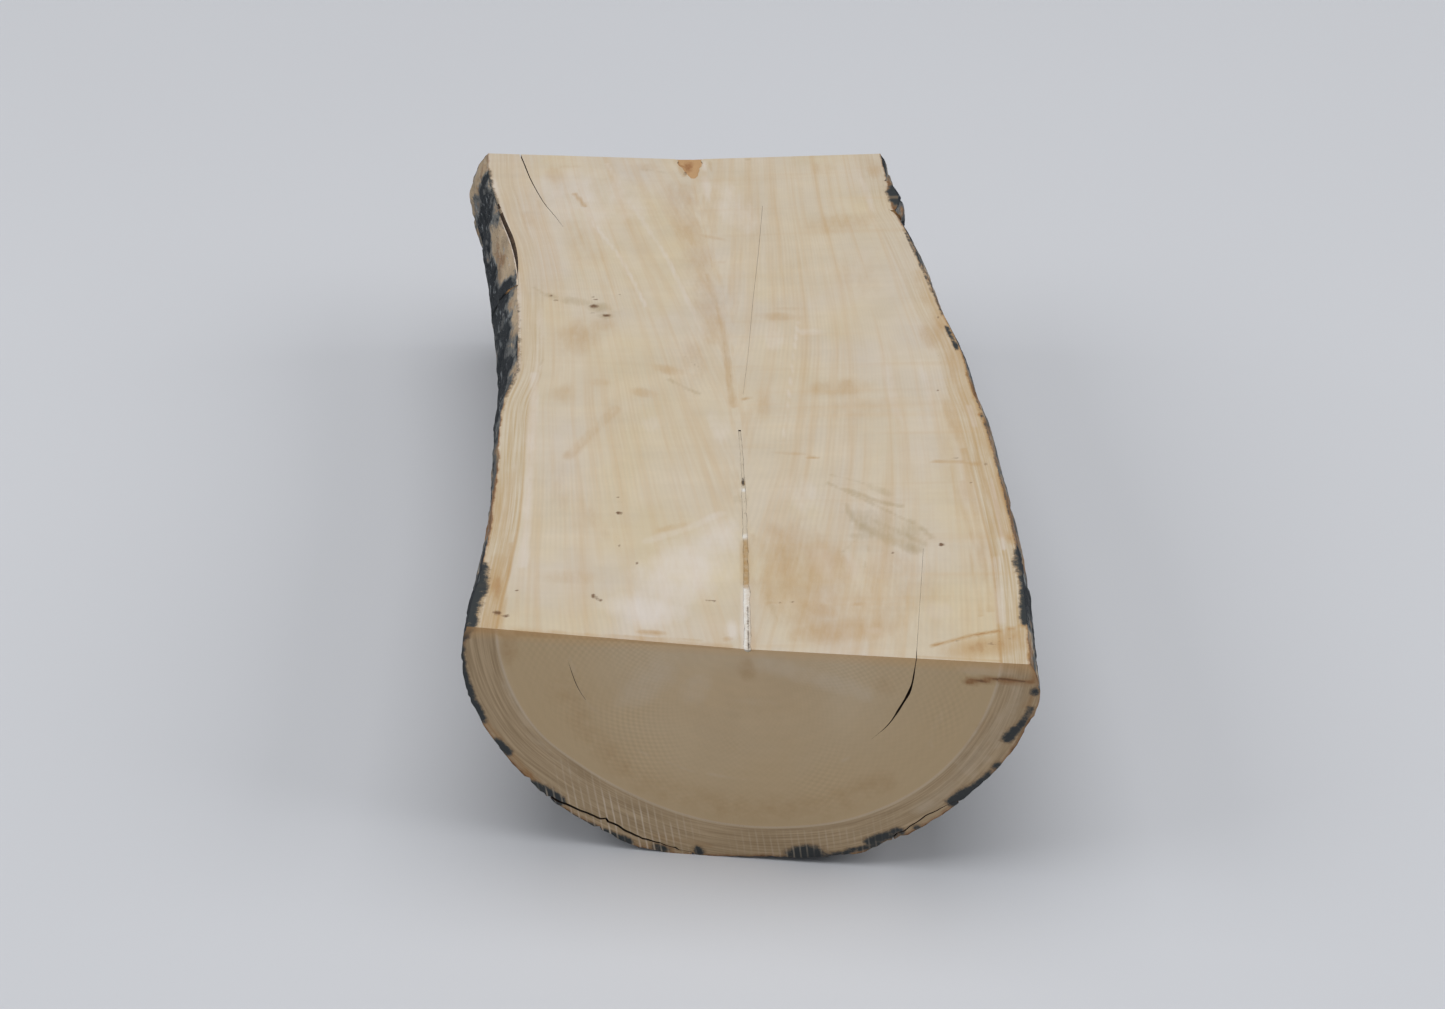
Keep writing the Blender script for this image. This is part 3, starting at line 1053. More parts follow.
@dataclass(frozen=True)
class WeatheredBark:
    """Cementum bark as it came out of the ground.

    Long burial leaves it fibrous and matt, so it has no gloss to speak of. Blue-black vivianite lies over tan
    fibres in ragged blotches, with rust between them and chalky flecks on the ribs. The fibre, blotch, fleck
    and grit are sizes in millimetres; the grit is drawn coarser than real grit, or it wouldn't show.
    """

    name: str
    tan: str = "b8a48a"
    brown: str = "7c6a55"
    vivianite: str = "20262c"
    slate: str = "5d666b"
    rust: str = "8e6238"
    chalk: str = "aab0b4"
    dark_share: float = 0.5
    fibre: float = 2.38
    blotch: float = 6.67
    fleck: float = 1.11
    grit: float = 0.77

    def build(self) -> bpy.types.Material:
        """Makes the material."""
        g = Graph(self.name)
        place = g.add("TexCoord", out="Object")
        paint = read_paint(g, "stain", "mark")
        # Fibres run six times as far along the tusk as across it, and blotches about twice as far.
        fibre_place = g.add("Mapping", {0: place, 3: (1.0, 0.16, 1.0)})
        fibre = g.add("TexNoise", {"Vector": fibre_place, "Scale": every(self.fibre), "Detail": 6.0,
                                   "Roughness": 0.7})
        blotch_place = g.add("Mapping", {0: place, 3: (1.0, 0.45, 1.0)})
        blotch = g.add("TexNoise", {"Vector": blotch_place, "Scale": every(self.blotch), "Detail": 6.0,
                                    "Roughness": 0.62})
        grit = g.add("TexNoise", {"Vector": place, "Scale": every(self.grit), "Detail": 3.0,
                                  "Roughness": 0.6})
        lifted = g.add("Math", {0: paint["pale"], 1: 0.3, 2: fibre}, operation="MULTIPLY_ADD")
        base_mix = g.add("MapRange", {0: lifted, 1: 0.35, 2: 0.65})
        base = g.add("Mix", {0: base_mix, 6: linear(self.brown), 7: linear(self.tan)},
                     data_type="RGBA", out=2)
        rusted = g.add("Math", {0: paint["iron"], 1: 0.16, 2: blotch}, operation="MULTIPLY_ADD")
        rust_mix = g.add("MapRange", {0: rusted, 1: 0.54, 2: 0.66, 3: 0.0, 4: 0.7})
        rusty = g.add("Mix", {0: rust_mix, 6: base, 7: linear(self.rust)}, data_type="RGBA", out=2)
        # Below the limit the bark is vivianite; painted vivianite lowers the field, iron and chalk raise it.
        limit = 0.46 + 0.2 * self.dark_share
        field = g.add("Math", {0: fibre, 1: 0.35, 2: blotch}, operation="MULTIPLY_ADD")
        for part, pull in (("vivianite", -0.14), ("iron", 0.16), ("pale", 0.2)):
            field = g.add("Math", {0: paint[part], 1: pull, 2: field}, operation="MULTIPLY_ADD")
        slate_mix = g.add("MapRange", {0: field, 1: limit + 0.09, 2: limit + 0.17, 3: 0.85, 4: 0.0})
        slated = g.add("Mix", {0: slate_mix, 6: rusty, 7: linear(self.slate)}, data_type="RGBA", out=2)
        dark_mix = g.add("MapRange", {0: field, 1: limit, 2: limit + 0.07, 3: 0.97, 4: 0.0})
        dark = g.add("Mix", {0: dark_mix, 6: slated, 7: linear(self.vivianite)}, data_type="RGBA", out=2)
        fleck = g.add("TexNoise", {"Vector": fibre_place, "Scale": every(self.fleck), "Detail": 4.0,
                                   "Roughness": 0.7})
        chalk_mix = g.add("MapRange", {0: fleck, 1: 0.57, 2: 0.68, 3: 0.0, 4: 0.6})
        flecked = g.add("Mix", {0: chalk_mix, 6: dark, 7: linear(self.chalk)}, data_type="RGBA", out=2)
        shade = g.add("MapRange", {0: fibre, 1: 0.32, 2: 0.68, 3: 0.72, 4: 1.16})
        colour = g.add("VectorMath", {0: flecked, "Scale": shade}, operation="SCALE")
        height = g.add("Math", {0: grit, 1: 0.35, 2: fibre}, operation="MULTIPLY_ADD")
        bump = g.add("Bump", {"Strength": 1.0, "Distance": 1.8 * MM, "Height": height})
        shader = g.add("BsdfPrincipled", {"Base Color": colour, "Roughness": 0.82, "IOR": 1.5,
                                          "Specular IOR Level": 0.3, "Normal": bump})
        g.add("OutputMaterial", {"Surface": shader})
        return g.material


@dataclass(frozen=True)
class Mineral:
    """A soft mineral fill, crumbled to about 1.4 mm: matt, chalk-white, iron-brown or near black by stain."""

    name: str
    plain: str
    stained: str
    chalk: str = "dedad3"
    dark: str = "4d443d"
    roughness: float = 0.8
    crumb: float = 1.43

    def build(self) -> bpy.types.Material:
        """Makes the material."""
        g = Graph(self.name)
        place = g.add("TexCoord", out="Object")
        paint = read_paint(g, "stain", "mark")
        crumb = g.add("TexNoise", {"Vector": place, "Scale": every(self.crumb), "Detail": 5.0,
                                   "Roughness": 0.7})
        colour = linear(self.plain)
        coats = (
            ("pale", self.chalk, 0.8, 1.4),
            ("iron", self.stained, 0.7, 1.5),
            ("speck", self.dark, 1.0, 1.4),
        )
        for part, code, low, high in coats:
            uneven = g.add("Math", {0: crumb, 1: 1.2, 2: paint[part]}, operation="MULTIPLY_ADD")
            cover = g.add("MapRange", {0: uneven, 1: low, 2: high})
            colour = g.add("Mix", {0: cover, 6: colour, 7: linear(code)}, data_type="RGBA", out=2)
        bump = g.add("Bump", {"Strength": 0.6, "Distance": 0.2 * MM, "Height": crumb})
        shader = g.add("BsdfPrincipled", {"Base Color": colour, "Roughness": self.roughness, "IOR": 1.5,
                                          "Specular IOR Level": 0.3, "Normal": bump})
        g.add("OutputMaterial", {"Surface": shader})
        return g.material


@dataclass(frozen=True)
class CrackWall:
    """The inside of a crack: dusty brown and quite dull, darker than either surface beside it."""

    name: str = "Crack wall, dusty dentine"
    dark: str = "2b211a"
    dusty: str = "54402f"
    dust: float = 2.0

    def build(self) -> bpy.types.Material:
        """Makes the material."""
        g = Graph(self.name)
        place = g.add("TexCoord", out="Object")
        dust = g.add("TexNoise", {"Vector": place, "Scale": every(self.dust), "Detail": 3.0})
        mix = g.add("MapRange", {0: dust, 1: 0.3, 2: 0.7})
        colour = g.add("Mix", {0: mix, 6: linear(self.dark), 7: linear(self.dusty)}, data_type="RGBA", out=2)
        shader = g.add("BsdfPrincipled", {"Base Color": colour, "Roughness": 0.9})
        g.add("OutputMaterial", {"Surface": shader})
        return g.material


@dataclass
class Finishes:
    """Every finish of the block, each made once."""

    lengthwise: bpy.types.Material
    crosscut: bpy.types.Material
    bark: bpy.types.Material
    stained_bark: bpy.types.Material
    crack: bpy.types.Material
    fill: bpy.types.Material
    plug: bpy.types.Material

    @classmethod
    def make(cls) -> "Finishes":
        """Makes all the materials."""
        return cls(
            lengthwise=RippedIvory().build(),
            crosscut=CrosscutIvory().build(),
            bark=WeatheredBark("Cementum bark, weathered").build(),
            stained_bark=WeatheredBark("Cementum bark, vivianite-stained", dark_share=0.8).build(),
            crack=CrackWall().build(),
            fill=Mineral("Chalky canal mineral", "c6b9a4", "a9895c").build(),
            plug=Mineral("Iron-stained canal mineral", "b8936a", "8a5a34", dark="6e4223").build(),
        )

    def of_ivory(self, bark: bpy.types.Material) -> list[bpy.types.Material]:
        """The materials of a piece in Face order, with the given bark."""
        return [self.lengthwise, self.crosscut, bark, self.crack]


# --------------------------------------------------------------------------------------------------- pieces


@dataclass
class Piece:
    """What every piece has: the grain it is cut from, its finishes and the bark's relief."""

    tusk: Tusk
    finishes: Finishes
    relief: Relief

    def finish(self, node: str, piece: bpy.types.Object, materials: list[bpy.types.Material],
               slot: str) -> bpy.types.Object:
        """Paints, places and declares a piece.

        Args:
            node: the frame's node that the piece stands for.
            piece: the object, in the tusk's millimetres.
            materials: its materials in Face order.
            slot: the record's material slot.

        Returns:
            The finished object, in the frame's metres.
        """
        piece.name = node + "_visual"
        data = piece.data
        data.name = piece.name
        paint_grain(data, self.tusk, self.outside)
        for material in materials:
            data.materials.append(material)
        move_points(data, self.tusk.to_frame(mesh_points(data)))
        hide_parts(node)
        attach(piece, BODY)
        LOG.info("%s: %d faces", piece.name, len(data.polygons))
        return piece

    def outside(self, angle: np.ndarray, y: np.ndarray) -> np.ndarray:
        """The radius that a piece's stains count their depth from: the plain skin."""
        return self.tusk.skin(angle, y)

    def rough_skin(self, angle: np.ndarray, y: np.ndarray) -> np.ndarray:
        """The bark's outside with its relief, which fades at the front end to keep the sawn rim."""
        around = TYPICAL_RADIUS * np.radians(angle)
        calm = (0.45 + 0.55 * smooth(2, 16, y)) * (0.3 + 0.7 * smooth(0, 7, np.minimum(angle, 180 - angle)))
        return self.tusk.skin(angle, y) + self.relief.over(around, y) * calm


@dataclass
class Shake:
    """A crack between two growth rings, open at the front end.

    It lies at a radius, between two angles, and runs in as far as its end. It is as wide as width at the
    front end and as tail further in, and widest at the boldest angle.
    """

    radius: float
    angles: tuple[float, float]
    end: float
    width: float
    tail: float
    boldest: float


@dataclass
class DentineCore(Piece):
    """The cream half-round core, with its nerve canal, its ring shakes and its drying cracks."""

    right_shake: Shake
    left_shake: Shake
    across: int = 60
    around: int = 150
    along: int = 60
    top_cuts: int = 5
    canal_radius: float = 0.72
    canal_end: float = 82.0
    mouth_start: float = 201.5
    mouth_radius: float = 3.8
    rear_crack: Knots = ((174, -43.8), (180, -46.4), (186, -49.2), (198, -53.2), (207, -55.5), (215, -57.6))
    hairline: Knots = ((97, 1.4), (115, 2.7), (140, 4.1), (161, 5.5), (186, 6.9))

    def build(self) -> bpy.types.Object:
        """Models the core and cuts its cracks."""
        piece = put_in_scene(self.half_round())
        carve(piece, self.cutters())
        self.sort_faces(piece.data)
        return self.finish("dentine_core", piece, self.finishes.of_ivory(self.finishes.crack), "dentine")

    def half_round(self) -> bpy.types.Mesh:
        """Spins a half disc from a radial line, draws it out along the tusk and bends it to the grain."""
        bm = bmesh.new()
        ends = [bm.verts.new((-1.0, 0.0, 0.0)), bm.verts.new((0.0, 0.0, 0.0))]
        line = bm.edges.new(ends)
        bmesh.ops.subdivide_edges(bm, edges=[line], cuts=self.across - 1)
        bmesh.ops.spin(bm, geom=bm.verts[:] + bm.edges[:], cent=(0, 0, 0), axis=(0, -1, 0), angle=math.pi,
                       steps=self.around, use_merge=False, use_normal_flip=False, use_duplicate=False)
        bmesh.ops.remove_doubles(bm, verts=bm.verts[:], dist=1e-5)
        drawn = bmesh.ops.extrude_face_region(bm, geom=bm.faces[:], use_keep_orig=True)
        moved = [v for v in drawn["geom"] if isinstance(v, bmesh.types.BMVert)]
        bmesh.ops.translate(bm, verts=moved, vec=(0, 1, 0))
        lengthwise = [e for e in bm.edges if abs(e.verts[0].co.y - e.verts[1].co.y) > 0.5]
        bmesh.ops.subdivide_edges(bm, edges=lengthwise, cuts=self.along - 1, use_grid_fill=True)
        top = [e for e in bm.edges if abs(e.verts[0].co.y - e.verts[1].co.y) > 1e-4
               and abs(e.verts[0].co.z) < 1e-5 and abs(e.verts[1].co.z) < 1e-5]
        bmesh.ops.subdivide_edges(bm, edges=top, cuts=self.top_cuts, use_grid_fill=True)
        bmesh.ops.recalc_face_normals(bm, faces=bm.faces[:])
        mesh = mesh_from(bm, "dentine_core")
        unit = mesh_points(mesh)
        angle = np.degrees(np.arctan2(np.maximum(-unit[:, 2], 0), -unit[:, 0]))
        y = unit[:, 1] * self.tusk.length
        radius = np.hypot(unit[:, 0], unit[:, 2]) * self.tusk.junction(angle, y)
        move_points(mesh, self.tusk.place(angle, radius, y))
        return mesh

    def cutters(self) -> list[bpy.types.Mesh]:
        """Everything that is cut out of the core."""
        return [
            self.nerve_rod("canal", (-3.0, self.canal_end), self.canal_width, 0.0),
            self.nerve_rod("mouth", (self.mouth_start, self.tusk.length + 2), self.mouth_width, 0.0),
            self.shake_cutter(self.right_shake),
            self.shake_cutter(self.left_shake),
            self.blade("rear_crack", self.rear_crack, 0.34, 1.6, 0.5),
            self.blade("hairline", self.hairline, 0.06, 3.0, 0.2),
        ]

    def canal_width(self, y: np.ndarray, side: np.ndarray) -> np.ndarray:
        """Half the canal's width, which wavers and narrows away from the front end."""
        places = zip(y.tolist(), side.tolist())
        waver = np.array([noise.noise(Vector((a / 3, 4 * b, 8.0))) for a, b in places])
        return (self.canal_radius - 0.2 * smooth(18, 30, y) - 0.2 * smooth(50, 70, y)) * (1 + 0.45 * waver)

    def mouth_width(self, y: np.ndarray, side: np.ndarray) -> np.ndarray:
        """Half the width of the canal's mouth, which opens raggedly towards the rear end."""
        places = zip(y.tolist(), side.tolist())
        waver = np.array([noise.noise(Vector((a / 2, 3 * b, 1.0))) for a, b in places])
        opened = np.clip((y - self.mouth_start) / (self.tusk.length - self.mouth_start), 0, 1.2)
        return (0.5 + (self.mouth_radius - 0.5) * opened ** 0.8) * (1 + 0.35 * waver)

    def nerve_rod(self, name: str, stations: tuple[float, float], width: Surface,
                  margin: float) -> bpy.types.Mesh:
        """Makes a round rod along the nerve, half sunk in the sawn face.

        Args:
            name: the mesh's name.
            stations: where it starts and ends along the nerve.
            width: gives its radius from y and from the side of the nerve, -1 or 1.
            margin: how much smaller it is made all round.

        Returns:
            The rod in the tusk's millimetres.
        """
        bm = bmesh.new()
        bmesh.ops.create_cone(bm, cap_ends=True, segments=20, radius1=1, radius2=1, depth=1)
        uprights = [e for e in bm.edges if abs(e.verts[0].co.z - e.verts[1].co.z) > 0.5]
        reach = stations[1] - stations[0]
        bmesh.ops.subdivide_edges(bm, edges=uprights, cuts=int(reach / 1.5), use_grid_fill=True)
        mesh = mesh_from(bm, name)
        unit = mesh_points(mesh)
        y = stations[0] + reach * (unit[:, 2] + 0.5)
        size = width(y, np.sign(np.round(unit[:, 0], 3))) - margin
        centre = self.tusk.place(np.zeros_like(y), np.zeros_like(y), y)
        offset = np.stack([-unit[:, 0] * size, np.zeros_like(y), unit[:, 1] * size], axis=-1)
        move_points(mesh, centre + offset)
        return mesh

    def shake_cutter(self, shake: Shake) -> bpy.types.Mesh:
        """A thin curved blade between two growth rings, widest at the front and hair-thin behind."""
        def half(angle: np.ndarray, y: np.ndarray) -> np.ndarray:
            """Half the crack's width."""
            bold = shake.boldest
            taper = smooth(shake.angles[0], bold, angle) - 0.72 * smooth(bold, bold + 14, angle) + 0.05
            opening = shake.tail + (shake.width - shake.tail) * np.exp(-np.maximum(y, 0) / 2.2)
            wobble = 1 + 0.2 * np.sin(angle * 0.7 + y)
            return opening * taper * wobble / 2

        def line(angle: np.ndarray, y: np.ndarray) -> np.ndarray:
            """The radius of the ring that the crack follows."""
            return shake.radius + 0.1 * np.clip(y, 0, None) + 0.1 * np.sin(angle * 0.35)

        def inner(angle: np.ndarray, y: np.ndarray) -> np.ndarray:
            """The crack's wall nearer the nerve."""
            return line(angle, y) - half(angle, y)

        def outer(angle: np.ndarray, y: np.ndarray) -> np.ndarray:
            """The crack's wall nearer the bark."""
            return line(angle, y) + half(angle, y)

        block = Bent(self.tusk, shake.angles, (-2.5, shake.end), (0.9, 2.0, 10.0))
        return block.build("shake", inner, outer)

    def blade(self, name: str, line: Knots, width: float, depth: float, power: float) -> bpy.types.Mesh:
        """Makes a thin upright blade along a line on the sawn face, closing towards its first knot.

        Args:
            name: the mesh's name.
            line: (y, x) knots.
            width: how wide the crack is where it is widest.
            depth: how deep it runs there.
            power: how fast it opens.

        Returns:
            The blade in the tusk's millimetres.
        """
        start, end = line[0][0], line[-1][0]
        mesh = mesh_from(grid_block(1, round((end - start) / 2.5), 1), name)
        unit = mesh_points(mesh) + 0.5
        y = start + (end - start) * unit[:, 1]
        opened = np.clip((y - start) / (end - start), 0.02, 1) ** power
        x = through(line, y) + width * opened * (unit[:, 0] - 0.5)
        z = np.where(unit[:, 2] > 0.5, self.tusk.depth + 1, self.tusk.depth - 1.5 - depth * opened)
        move_points(mesh, np.stack([x, y, z], axis=-1))
        return mesh

    def sort_faces(self, mesh: bpy.types.Mesh) -> None:
        """Marks each face by the surface it lies on, from where it is and which way it looks."""
        square_on, near, dished = 0.9, 0.05, 2.6
        for face in mesh.polygons:
            y = self.tusk.grain(np.array([face.center]))[2][0]
            in_front = face.normal.y < -square_on and y < near
            behind = face.normal.y > square_on and y > self.tusk.length - near
            if face.normal.z > square_on and face.center.z > self.tusk.depth - dished:
                face.material_index = Face.LENGTHWISE
            elif in_front or behind:
                face.material_index = Face.CROSSCUT
            else:
                face.material_index = Face.CRACK
            face.use_smooth = False

    def canal_fill(self) -> bpy.types.Object:
        """The mineral that fills the canal, lying just below the sawn face."""
        mesh = self.nerve_rod("nerve_canal_fill", (0.0, self.canal_end - 0.3), self.canal_width, 0.02)
        piece = put_in_scene(self.level(mesh, 0.12))
        return self.finish("nerve_canal_fill", piece, [self.finishes.fill], "canal_mineral")

    def mouth_plug(self) -> bpy.types.Object:
        """The iron-stained plug in the canal's mouth at the rear end."""
        stations = (self.mouth_start + 0.2, self.tusk.length)
        mesh = self.nerve_rod("canal_mouth_plug", stations, self.mouth_width, 0.02)
        piece = put_in_scene(self.level(mesh, 0.1))
        return self.finish("canal_mouth_plug", piece, [self.finishes.plug], "iron_stained_mineral")

    def level(self, mesh: bpy.types.Mesh, below: float) -> bpy.types.Mesh:
        """Presses a rod's upper half down to a crumbly surface just below the sawn face."""
        points = mesh_points(mesh)
        surface = self.tusk.depth - self.tusk.dish(points[:, 0], points[:, 1]) - below
        rough = np.array([0.12 * noise.noise(Vector(p) / 1.3) for p in points])
        points[:, 2] = np.minimum(points[:, 2], surface + rough)
        move_points(mesh, points)
        return mesh


@dataclass
class Flake:
    """A thin flake that a crack has parted from the bark: where it is, and how thick it is halfway round."""

    angles: tuple[float, float]
    thickness: float
    end: float
    gap: float

    @property
    def outline(self) -> Outline:
        """A tongue, longest halfway round."""
        low, high = self.angles
        return Outline(0.0, (low + high) / 2, (high - low) / 2, 0.6)

    def depth(self, angle: np.ndarray, y: np.ndarray) -> np.ndarray:
        """How deep the crack runs below the skin."""
        low, high = self.angles
        y = self.outline.plain(angle, y)
        body = 0.7 + (self.thickness - 0.7) * arch(low, high, angle)
        inside = smooth(low - 0.5, low + 0.5, angle) * (1 - smooth(high - 0.5, high + 0.5, angle))
        return body * inside * (1 - smooth(self.end - 1, self.end + 1, y))

    def opening(self, angle: np.ndarray, y: np.ndarray) -> np.ndarray:
        """How wide the crack stands open."""
        low, high = self.angles
        closing = 1 - smooth(low + 0.55 * (high - low), high, angle)
        return self.gap * (0.12 + 0.88 * closing)


@dataclass
class Slab:
    """The slab that stands off the rear-left edge, with a slit behind it."""

    angles: tuple[float, float] = (0.0, 24.0)
    stations: tuple[float, float] = (142.0, 193.0)
    slit: float = 1.15
    foot: float = 2.4

    @property
    def outline(self) -> Outline:
        """A shield, longest at the sawn edge."""
        return Outline(sum(self.stations) / 2, self.angles[0], self.angles[1], 0.55)

    def wall(self, tusk: Tusk, angle: np.ndarray, y: np.ndarray) -> np.ndarray:
        """The radius of the slit's outer wall, which is the slab's back."""
        edge = through(tusk.nerve, y) - through(tusk.left_edge, tusk.side_y(np.zeros_like(y), y)) + 0.1
        skin = tusk.skin(angle, y) - 0.5
        foot = tusk.skin(np.full_like(y, self.angles[1]), y) - self.foot
        down = np.clip(angle / self.angles[1], 0, 1)
        y = self.outline.plain(angle, y)
        back = edge + (foot - edge) * down + self.gape(y) * (1 - 0.8 * down)
        low, high = self.stations
        body = smooth(low, low + 9, y) * (1 - smooth(high - 7, high, y))
        return np.minimum(skin, skin + (back - skin) * body)

    def gape(self, y: np.ndarray) -> np.ndarray:
        """How wide the slit stands open at the sawn face."""
        return self.slit * arch(self.stations[0] + 5, self.stations[1] - 4, y)

    def inside(self, angle: np.ndarray, y: np.ndarray) -> np.ndarray:
        """Is 1 within the slab's outline and 0 outside it."""
        y = self.outline.plain(angle, y)
        along = smooth(self.stations[0] - 0.6, self.stations[0] + 0.6, y)
        along = along * (1 - smooth(self.stations[1] - 0.6, self.stations[1] + 0.6, y))
        return along * (1 - smooth(self.angles[1] - 0.6, self.angles[1] + 0.6, angle))


@dataclass
class Bark(Piece):
    """The ring of bark round the core, and what has come loose from it."""

    left_flake: Flake
    right_flake: Flake
    slab: Slab
    checks: tuple[float, float, float] = (46.0, 100.0, 141.0)
    knob_angles: tuple[float, float] = (165.0, 180.0)
    knob_stations: tuple[float, float] = (182.0, 198.0)
    knob_outline: Outline = Outline(190.0, 180.0, 15.0, 0.45)
    knob_sink: float = 1.1
    knob_rise: float = 2.1
    hidden_depth: float = 0.8

    def plate(self, name: str, low: float, high: float) -> bpy.types.Object:
        """One plate of bark between two checks, hollowed where a loose piece lies on it."""
        block = Bent(self.tusk, (low, high), (0.0, self.tusk.length))
        mesh = block.build(name, self.tusk.junction, self.plate_skin)
        self.darken_hollows(mesh)
        materials = self.finishes.of_ivory(self.finishes.bark)
        return self.finish(name, put_in_scene(mesh), materials, "cementum_bark")

    def darken_hollows(self, mesh: bpy.types.Mesh) -> None:
        """Marks the bark that loose pieces cover as crack wall."""
        faces = [face for face in mesh.polygons if face.material_index == Face.BARK]
        angle, radius, y = self.tusk.grain(np.array([face.center for face in faces]))
        hidden = self.rough_skin(angle, y) - radius > self.hidden_depth
        for face, deep in zip(faces, hidden):
            if deep:
                face.material_index = Face.CRACK

    def outside(self, angle: np.ndarray, y: np.ndarray) -> np.ndarray:
        """The radius that the bark's stains count their depth from: the weathered skin."""
        return self.rough_skin(angle, y)

    def plate_skin(self, angle: np.ndarray, y: np.ndarray) -> np.ndarray:
        """The bark's outside less the loose pieces."""
        skin = self.rough_skin(angle, y)
        for flake in (self.left_flake, self.right_flake):
            skin = skin - flake.depth(angle, y)
        within = self.slab.inside(angle, y)
        bare = self.slab.wall(self.tusk, angle, y) - self.slab_opening(angle, y)
        skin = np.where(within > 0, skin + (np.minimum(bare, skin) - skin) * within, skin)
        return skin - self.knob_sink * self.knob_inside(angle, y)

    def slab_opening(self, angle: np.ndarray, y: np.ndarray) -> np.ndarray:
        """How wide the slit stands open, most at the sawn face and halfway along."""
        y = self.slab.outline.plain(angle, y)
        return 0.06 + self.slab.gape(y) * (1 - 0.8 * np.clip(angle / self.slab.angles[1], 0, 1))

    def knob_inside(self, angle: np.ndarray, y: np.ndarray) -> np.ndarray:
        """Is 1 within the knob's outline and 0 outside it."""
        y = self.knob_outline.plain(angle, y)
        low, high = self.knob_stations
        along = smooth(low - 0.5, low + 0.5, y) * (1 - smooth(high - 0.5, high + 0.5, y))
        return along * smooth(self.knob_angles[0] - 0.6, self.knob_angles[0] + 0.6, angle)

    def flake_piece(self, name: str, flake: Flake) -> bpy.types.Object:
        """One loose flake, its crack open behind it."""
        def back(angle: np.ndarray, y: np.ndarray) -> np.ndarray:
            """The inner wall."""
            return self.rough_skin(angle, y) - flake.depth(angle, y) + flake.opening(angle, y)

        def front(angle: np.ndarray, y: np.ndarray) -> np.ndarray:
            """The outer wall."""
            return np.maximum(self.rough_skin(angle, y), back(angle, y) + 0.15)

        low, high = flake.angles
        angles, stations = (low + 0.5, high - 0.5), (0.0, flake.end - 0.8)
        block = Bent(self.tusk, angles, stations, (0.8, 1.1, 0.7), flake.outline)
        return self.loose(name, block.build(name, back, front))

    def slab_piece(self) -> bpy.types.Object:
        """The sprung slab beside its slit."""
        def back(angle: np.ndarray, y: np.ndarray) -> np.ndarray:
            """The inner wall."""
            return self.slab.wall(self.tusk, angle, y)

        def front(angle: np.ndarray, y: np.ndarray) -> np.ndarray:
            """The outer wall."""
            return np.maximum(self.rough_skin(angle, y), back(angle, y) + 0.25)

        low, high = self.slab.stations
        first, last = self.slab.angles
        angles, stations = (first, last - 0.7), (low + 0.7, high - 0.7)
        block = Bent(self.tusk, angles, stations, (0.6, 0.8, 0.6), self.slab.outline)
        return self.loose("sprung_bark_slab", block.build("slab", back, front))

    def knob_piece(self) -> bpy.types.Object:
        """The dark lump on the rear-right edge."""
        low, high = self.knob_stations

        def back(angle: np.ndarray, y: np.ndarray) -> np.ndarray:
            """The inner wall."""
            return self.rough_skin(angle, y) - self.knob_sink

        def front(angle: np.ndarray, y: np.ndarray) -> np.ndarray:
            """The outer wall, which swells halfway along and towards the sawn edge."""
            along = arch(low, high, self.knob_outline.plain(angle, y)) ** 0.7
            swell = self.knob_rise * along * smooth(self.knob_angles[0] - 2, 178, angle)
            return self.rough_skin(angle, y) + swell

        first, last = self.knob_angles
        angles, stations = (first + 0.6, last), (low + 0.5, high - 0.5)
        block = Bent(self.tusk, angles, stations, (0.5, 0.6, 0.6), self.knob_outline)
        return self.loose("bark_knob", block.build("knob", back, front))

    def loose(self, node: str, mesh: bpy.types.Mesh) -> bpy.types.Object:
        """Finishes one loose, vivianite-stained piece."""
        materials = self.finishes.of_ivory(self.finishes.stained_bark)
        return self.finish(node, put_in_scene(mesh), materials, "vivianite_bark")

    def build(self) -> list[bpy.types.Object]:
        """Models the four plates and the four loose pieces."""
        first, second, third = self.checks
        return [
            self.plate("rind_left", 0.0, first),
            self.plate("rind_keel", first, second),
            self.plate("rind_lower_right", second, third),
            self.plate("rind_right", third, 180.0),
            self.flake_piece("bark_flake_left", self.left_flake),
            self.flake_piece("bark_flake_right", self.right_flake),
            self.slab_piece(),
            self.knob_piece(),
        ]


# --------------------------------------------------------------------------------------------------- studio


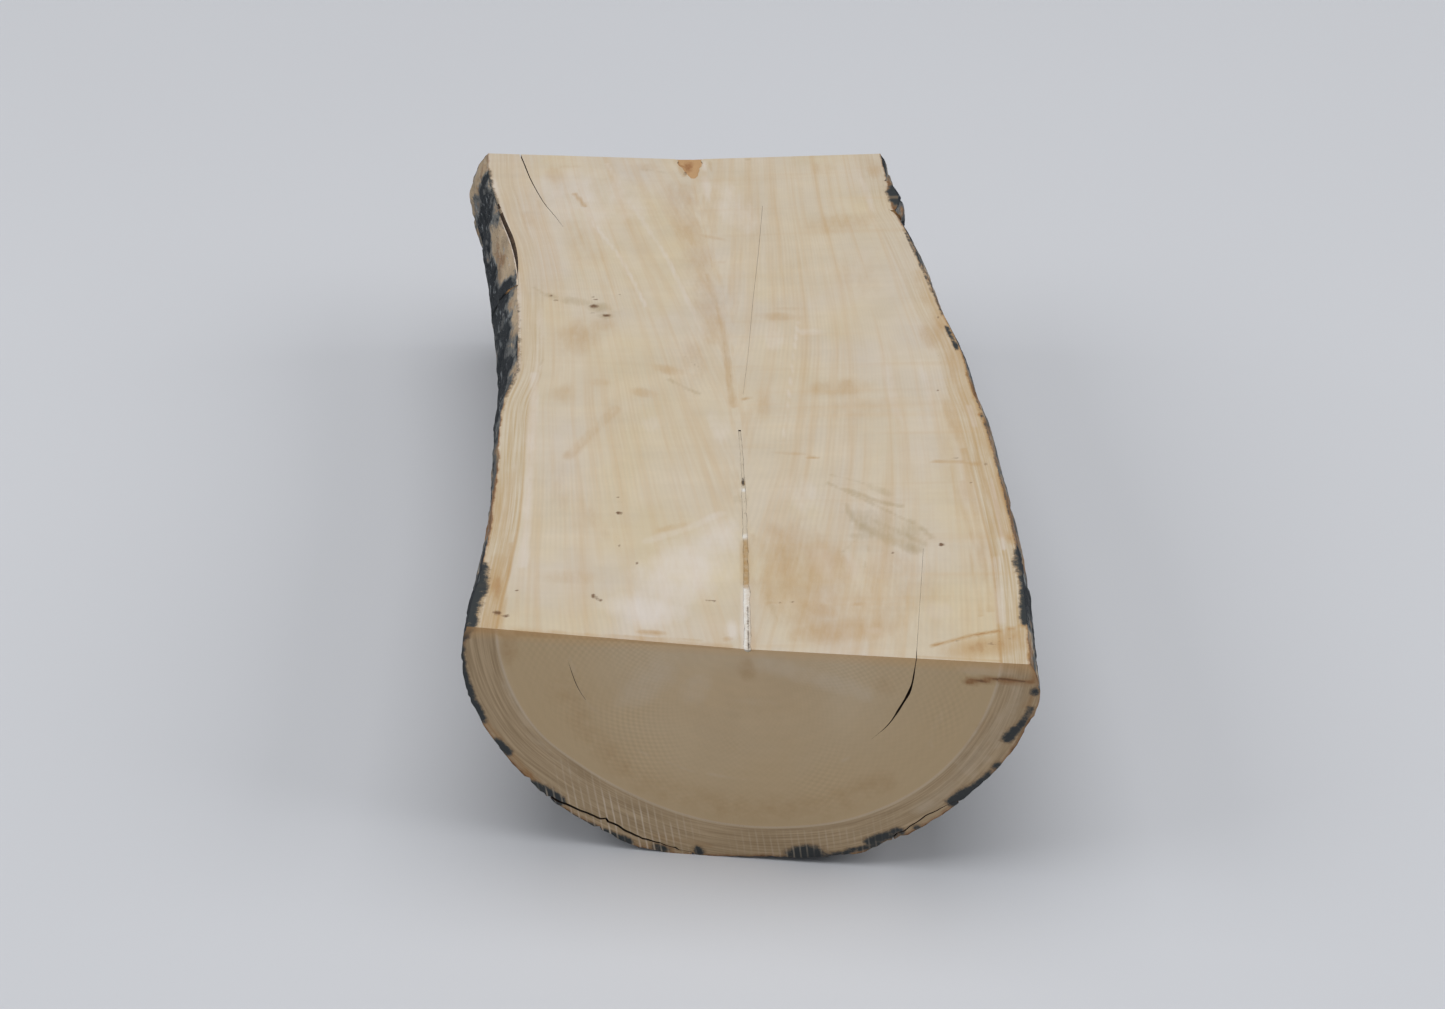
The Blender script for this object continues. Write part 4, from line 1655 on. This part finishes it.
@dataclass
class Studio:
    """A plain pale floor, soft light from above and the camera, in metres."""

    tusk: Tusk
    lens: float = 74.74
    eye: tuple[float, float, float] = (-3.4, -489.4, 436.8)
    target: tuple[float, float, float] = (-3.4, 100.0, 23.6)
    floor_size: float = 6.0
    floor: str = "cbcdd2"

    def build(self) -> None:
        """Sets the floor, lights, sky and camera."""
        self.lay_floor()
        self.light("overhead", (0.0, 0.05, 1.5), (1.4, 1.4), 12.5)
        self.light("left", (-1.25, -0.15, 1.0), (1.0, 0.8), 6.6)
        self.light("right", (1.25, -0.15, 1.0), (1.0, 0.8), 7.4)
        self.sky(0.25)
        self.look()
        scene = bpy.context.scene
        scene.view_settings.view_transform = "Standard"
        scene.view_settings.look = "None"

    def lay_floor(self) -> None:
        """A flat sheet of pale, faintly blue grey board."""
        bm = bmesh.new()
        bmesh.ops.create_grid(bm, x_segments=4, y_segments=4, size=self.floor_size / 2)
        floor = put_in_scene(mesh_from(bm, "floor"))
        g = Graph("Matt board, pale grey")
        place = g.add("TexCoord", out="Object")
        cloud = g.add("TexNoise", {"Vector": place, "Scale": 3.0, "Detail": 2.0})
        tone = g.add("MapRange", {0: cloud, 1: 0.3, 2: 0.7, 3: 0.985, 4: 1.015})
        ground = g.add("VectorMath", {0: linear(self.floor)[:3], "Scale": tone}, operation="SCALE")
        shader = g.add("BsdfPrincipled", {"Base Color": ground, "Roughness": 0.9, "Specular IOR Level": 0.2})
        g.add("OutputMaterial", {"Surface": shader})
        floor.data.materials.append(g.material)

    def light(self, name: str, spot: tuple[float, float, float], size: tuple[float, float],
              power: float) -> None:
        """Hangs one soft box, aimed at the block.

        Args:
            name: its name.
            spot: where it hangs, in metres.
            size: its two sides in metres.
            power: its power in watts.
        """
        data = bpy.data.lights.new(name, "AREA")
        data.shape = "RECTANGLE"
        data.size, data.size_y = size
        data.energy = power
        box = bpy.data.objects.new(name, data)
        box.location = spot
        box.rotation_euler = (Vector((0, 0, 0.03)) - box.location).to_track_quat("-Z", "Y").to_euler()
        bpy.context.scene.collection.objects.link(box)

    def sky(self, strength: float) -> None:
        """Fills the room with an even, faintly cool light."""
        world = bpy.data.worlds.new("room")
        world.use_nodes = True
        back = world.node_tree.nodes["Background"]
        back.inputs["Color"].default_value = (0.97, 0.985, 1.0, 1.0)
        back.inputs["Strength"].default_value = strength
        bpy.context.scene.world = world

    def look(self) -> None:
        """Sets the camera: a short telephoto, 35 degrees above the block's front end."""
        data = bpy.data.cameras.new("camera")
        data.lens = self.lens
        data.sensor_width = 36.0
        camera = bpy.data.objects.new("camera", data)
        eye, target = (Vector(p) for p in self.tusk.to_frame(np.array([self.eye, self.target])))
        camera.location = eye
        camera.rotation_euler = (target - eye).to_track_quat("-Z", "Y").to_euler()
        bpy.context.scene.collection.objects.link(camera)
        bpy.context.scene.camera = camera


def main() -> None:
    logging.basicConfig(level=logging.INFO, format="%(name)s %(message)s")
    tusk = tusk_from_frame()
    finishes = Finishes.make()
    relief = Relief()
    Studio(tusk).build()
    core = DentineCore(tusk, finishes, relief,
                       right_shake=Shake(radius=34.5, angles=(139.0, 184.0), end=38.0, width=0.56, tail=0.14,
                                         boldest=163.0),
                       left_shake=Shake(radius=38.1, angles=(10.5, 27.0), end=3.0, width=0.15, tail=0.06,
                                        boldest=17.0))
    core.build()
    core.canal_fill()
    core.mouth_plug()
    bark = Bark(tusk, finishes, relief,
                left_flake=Flake(angles=(46.6, 79.0), thickness=3.3, end=118.0, gap=0.55),
                right_flake=Flake(angles=(122.0, 140.0), thickness=2.0, end=84.0, gap=0.3),
                slab=Slab())
    bark.build()


if __name__ == "__main__":
    main()
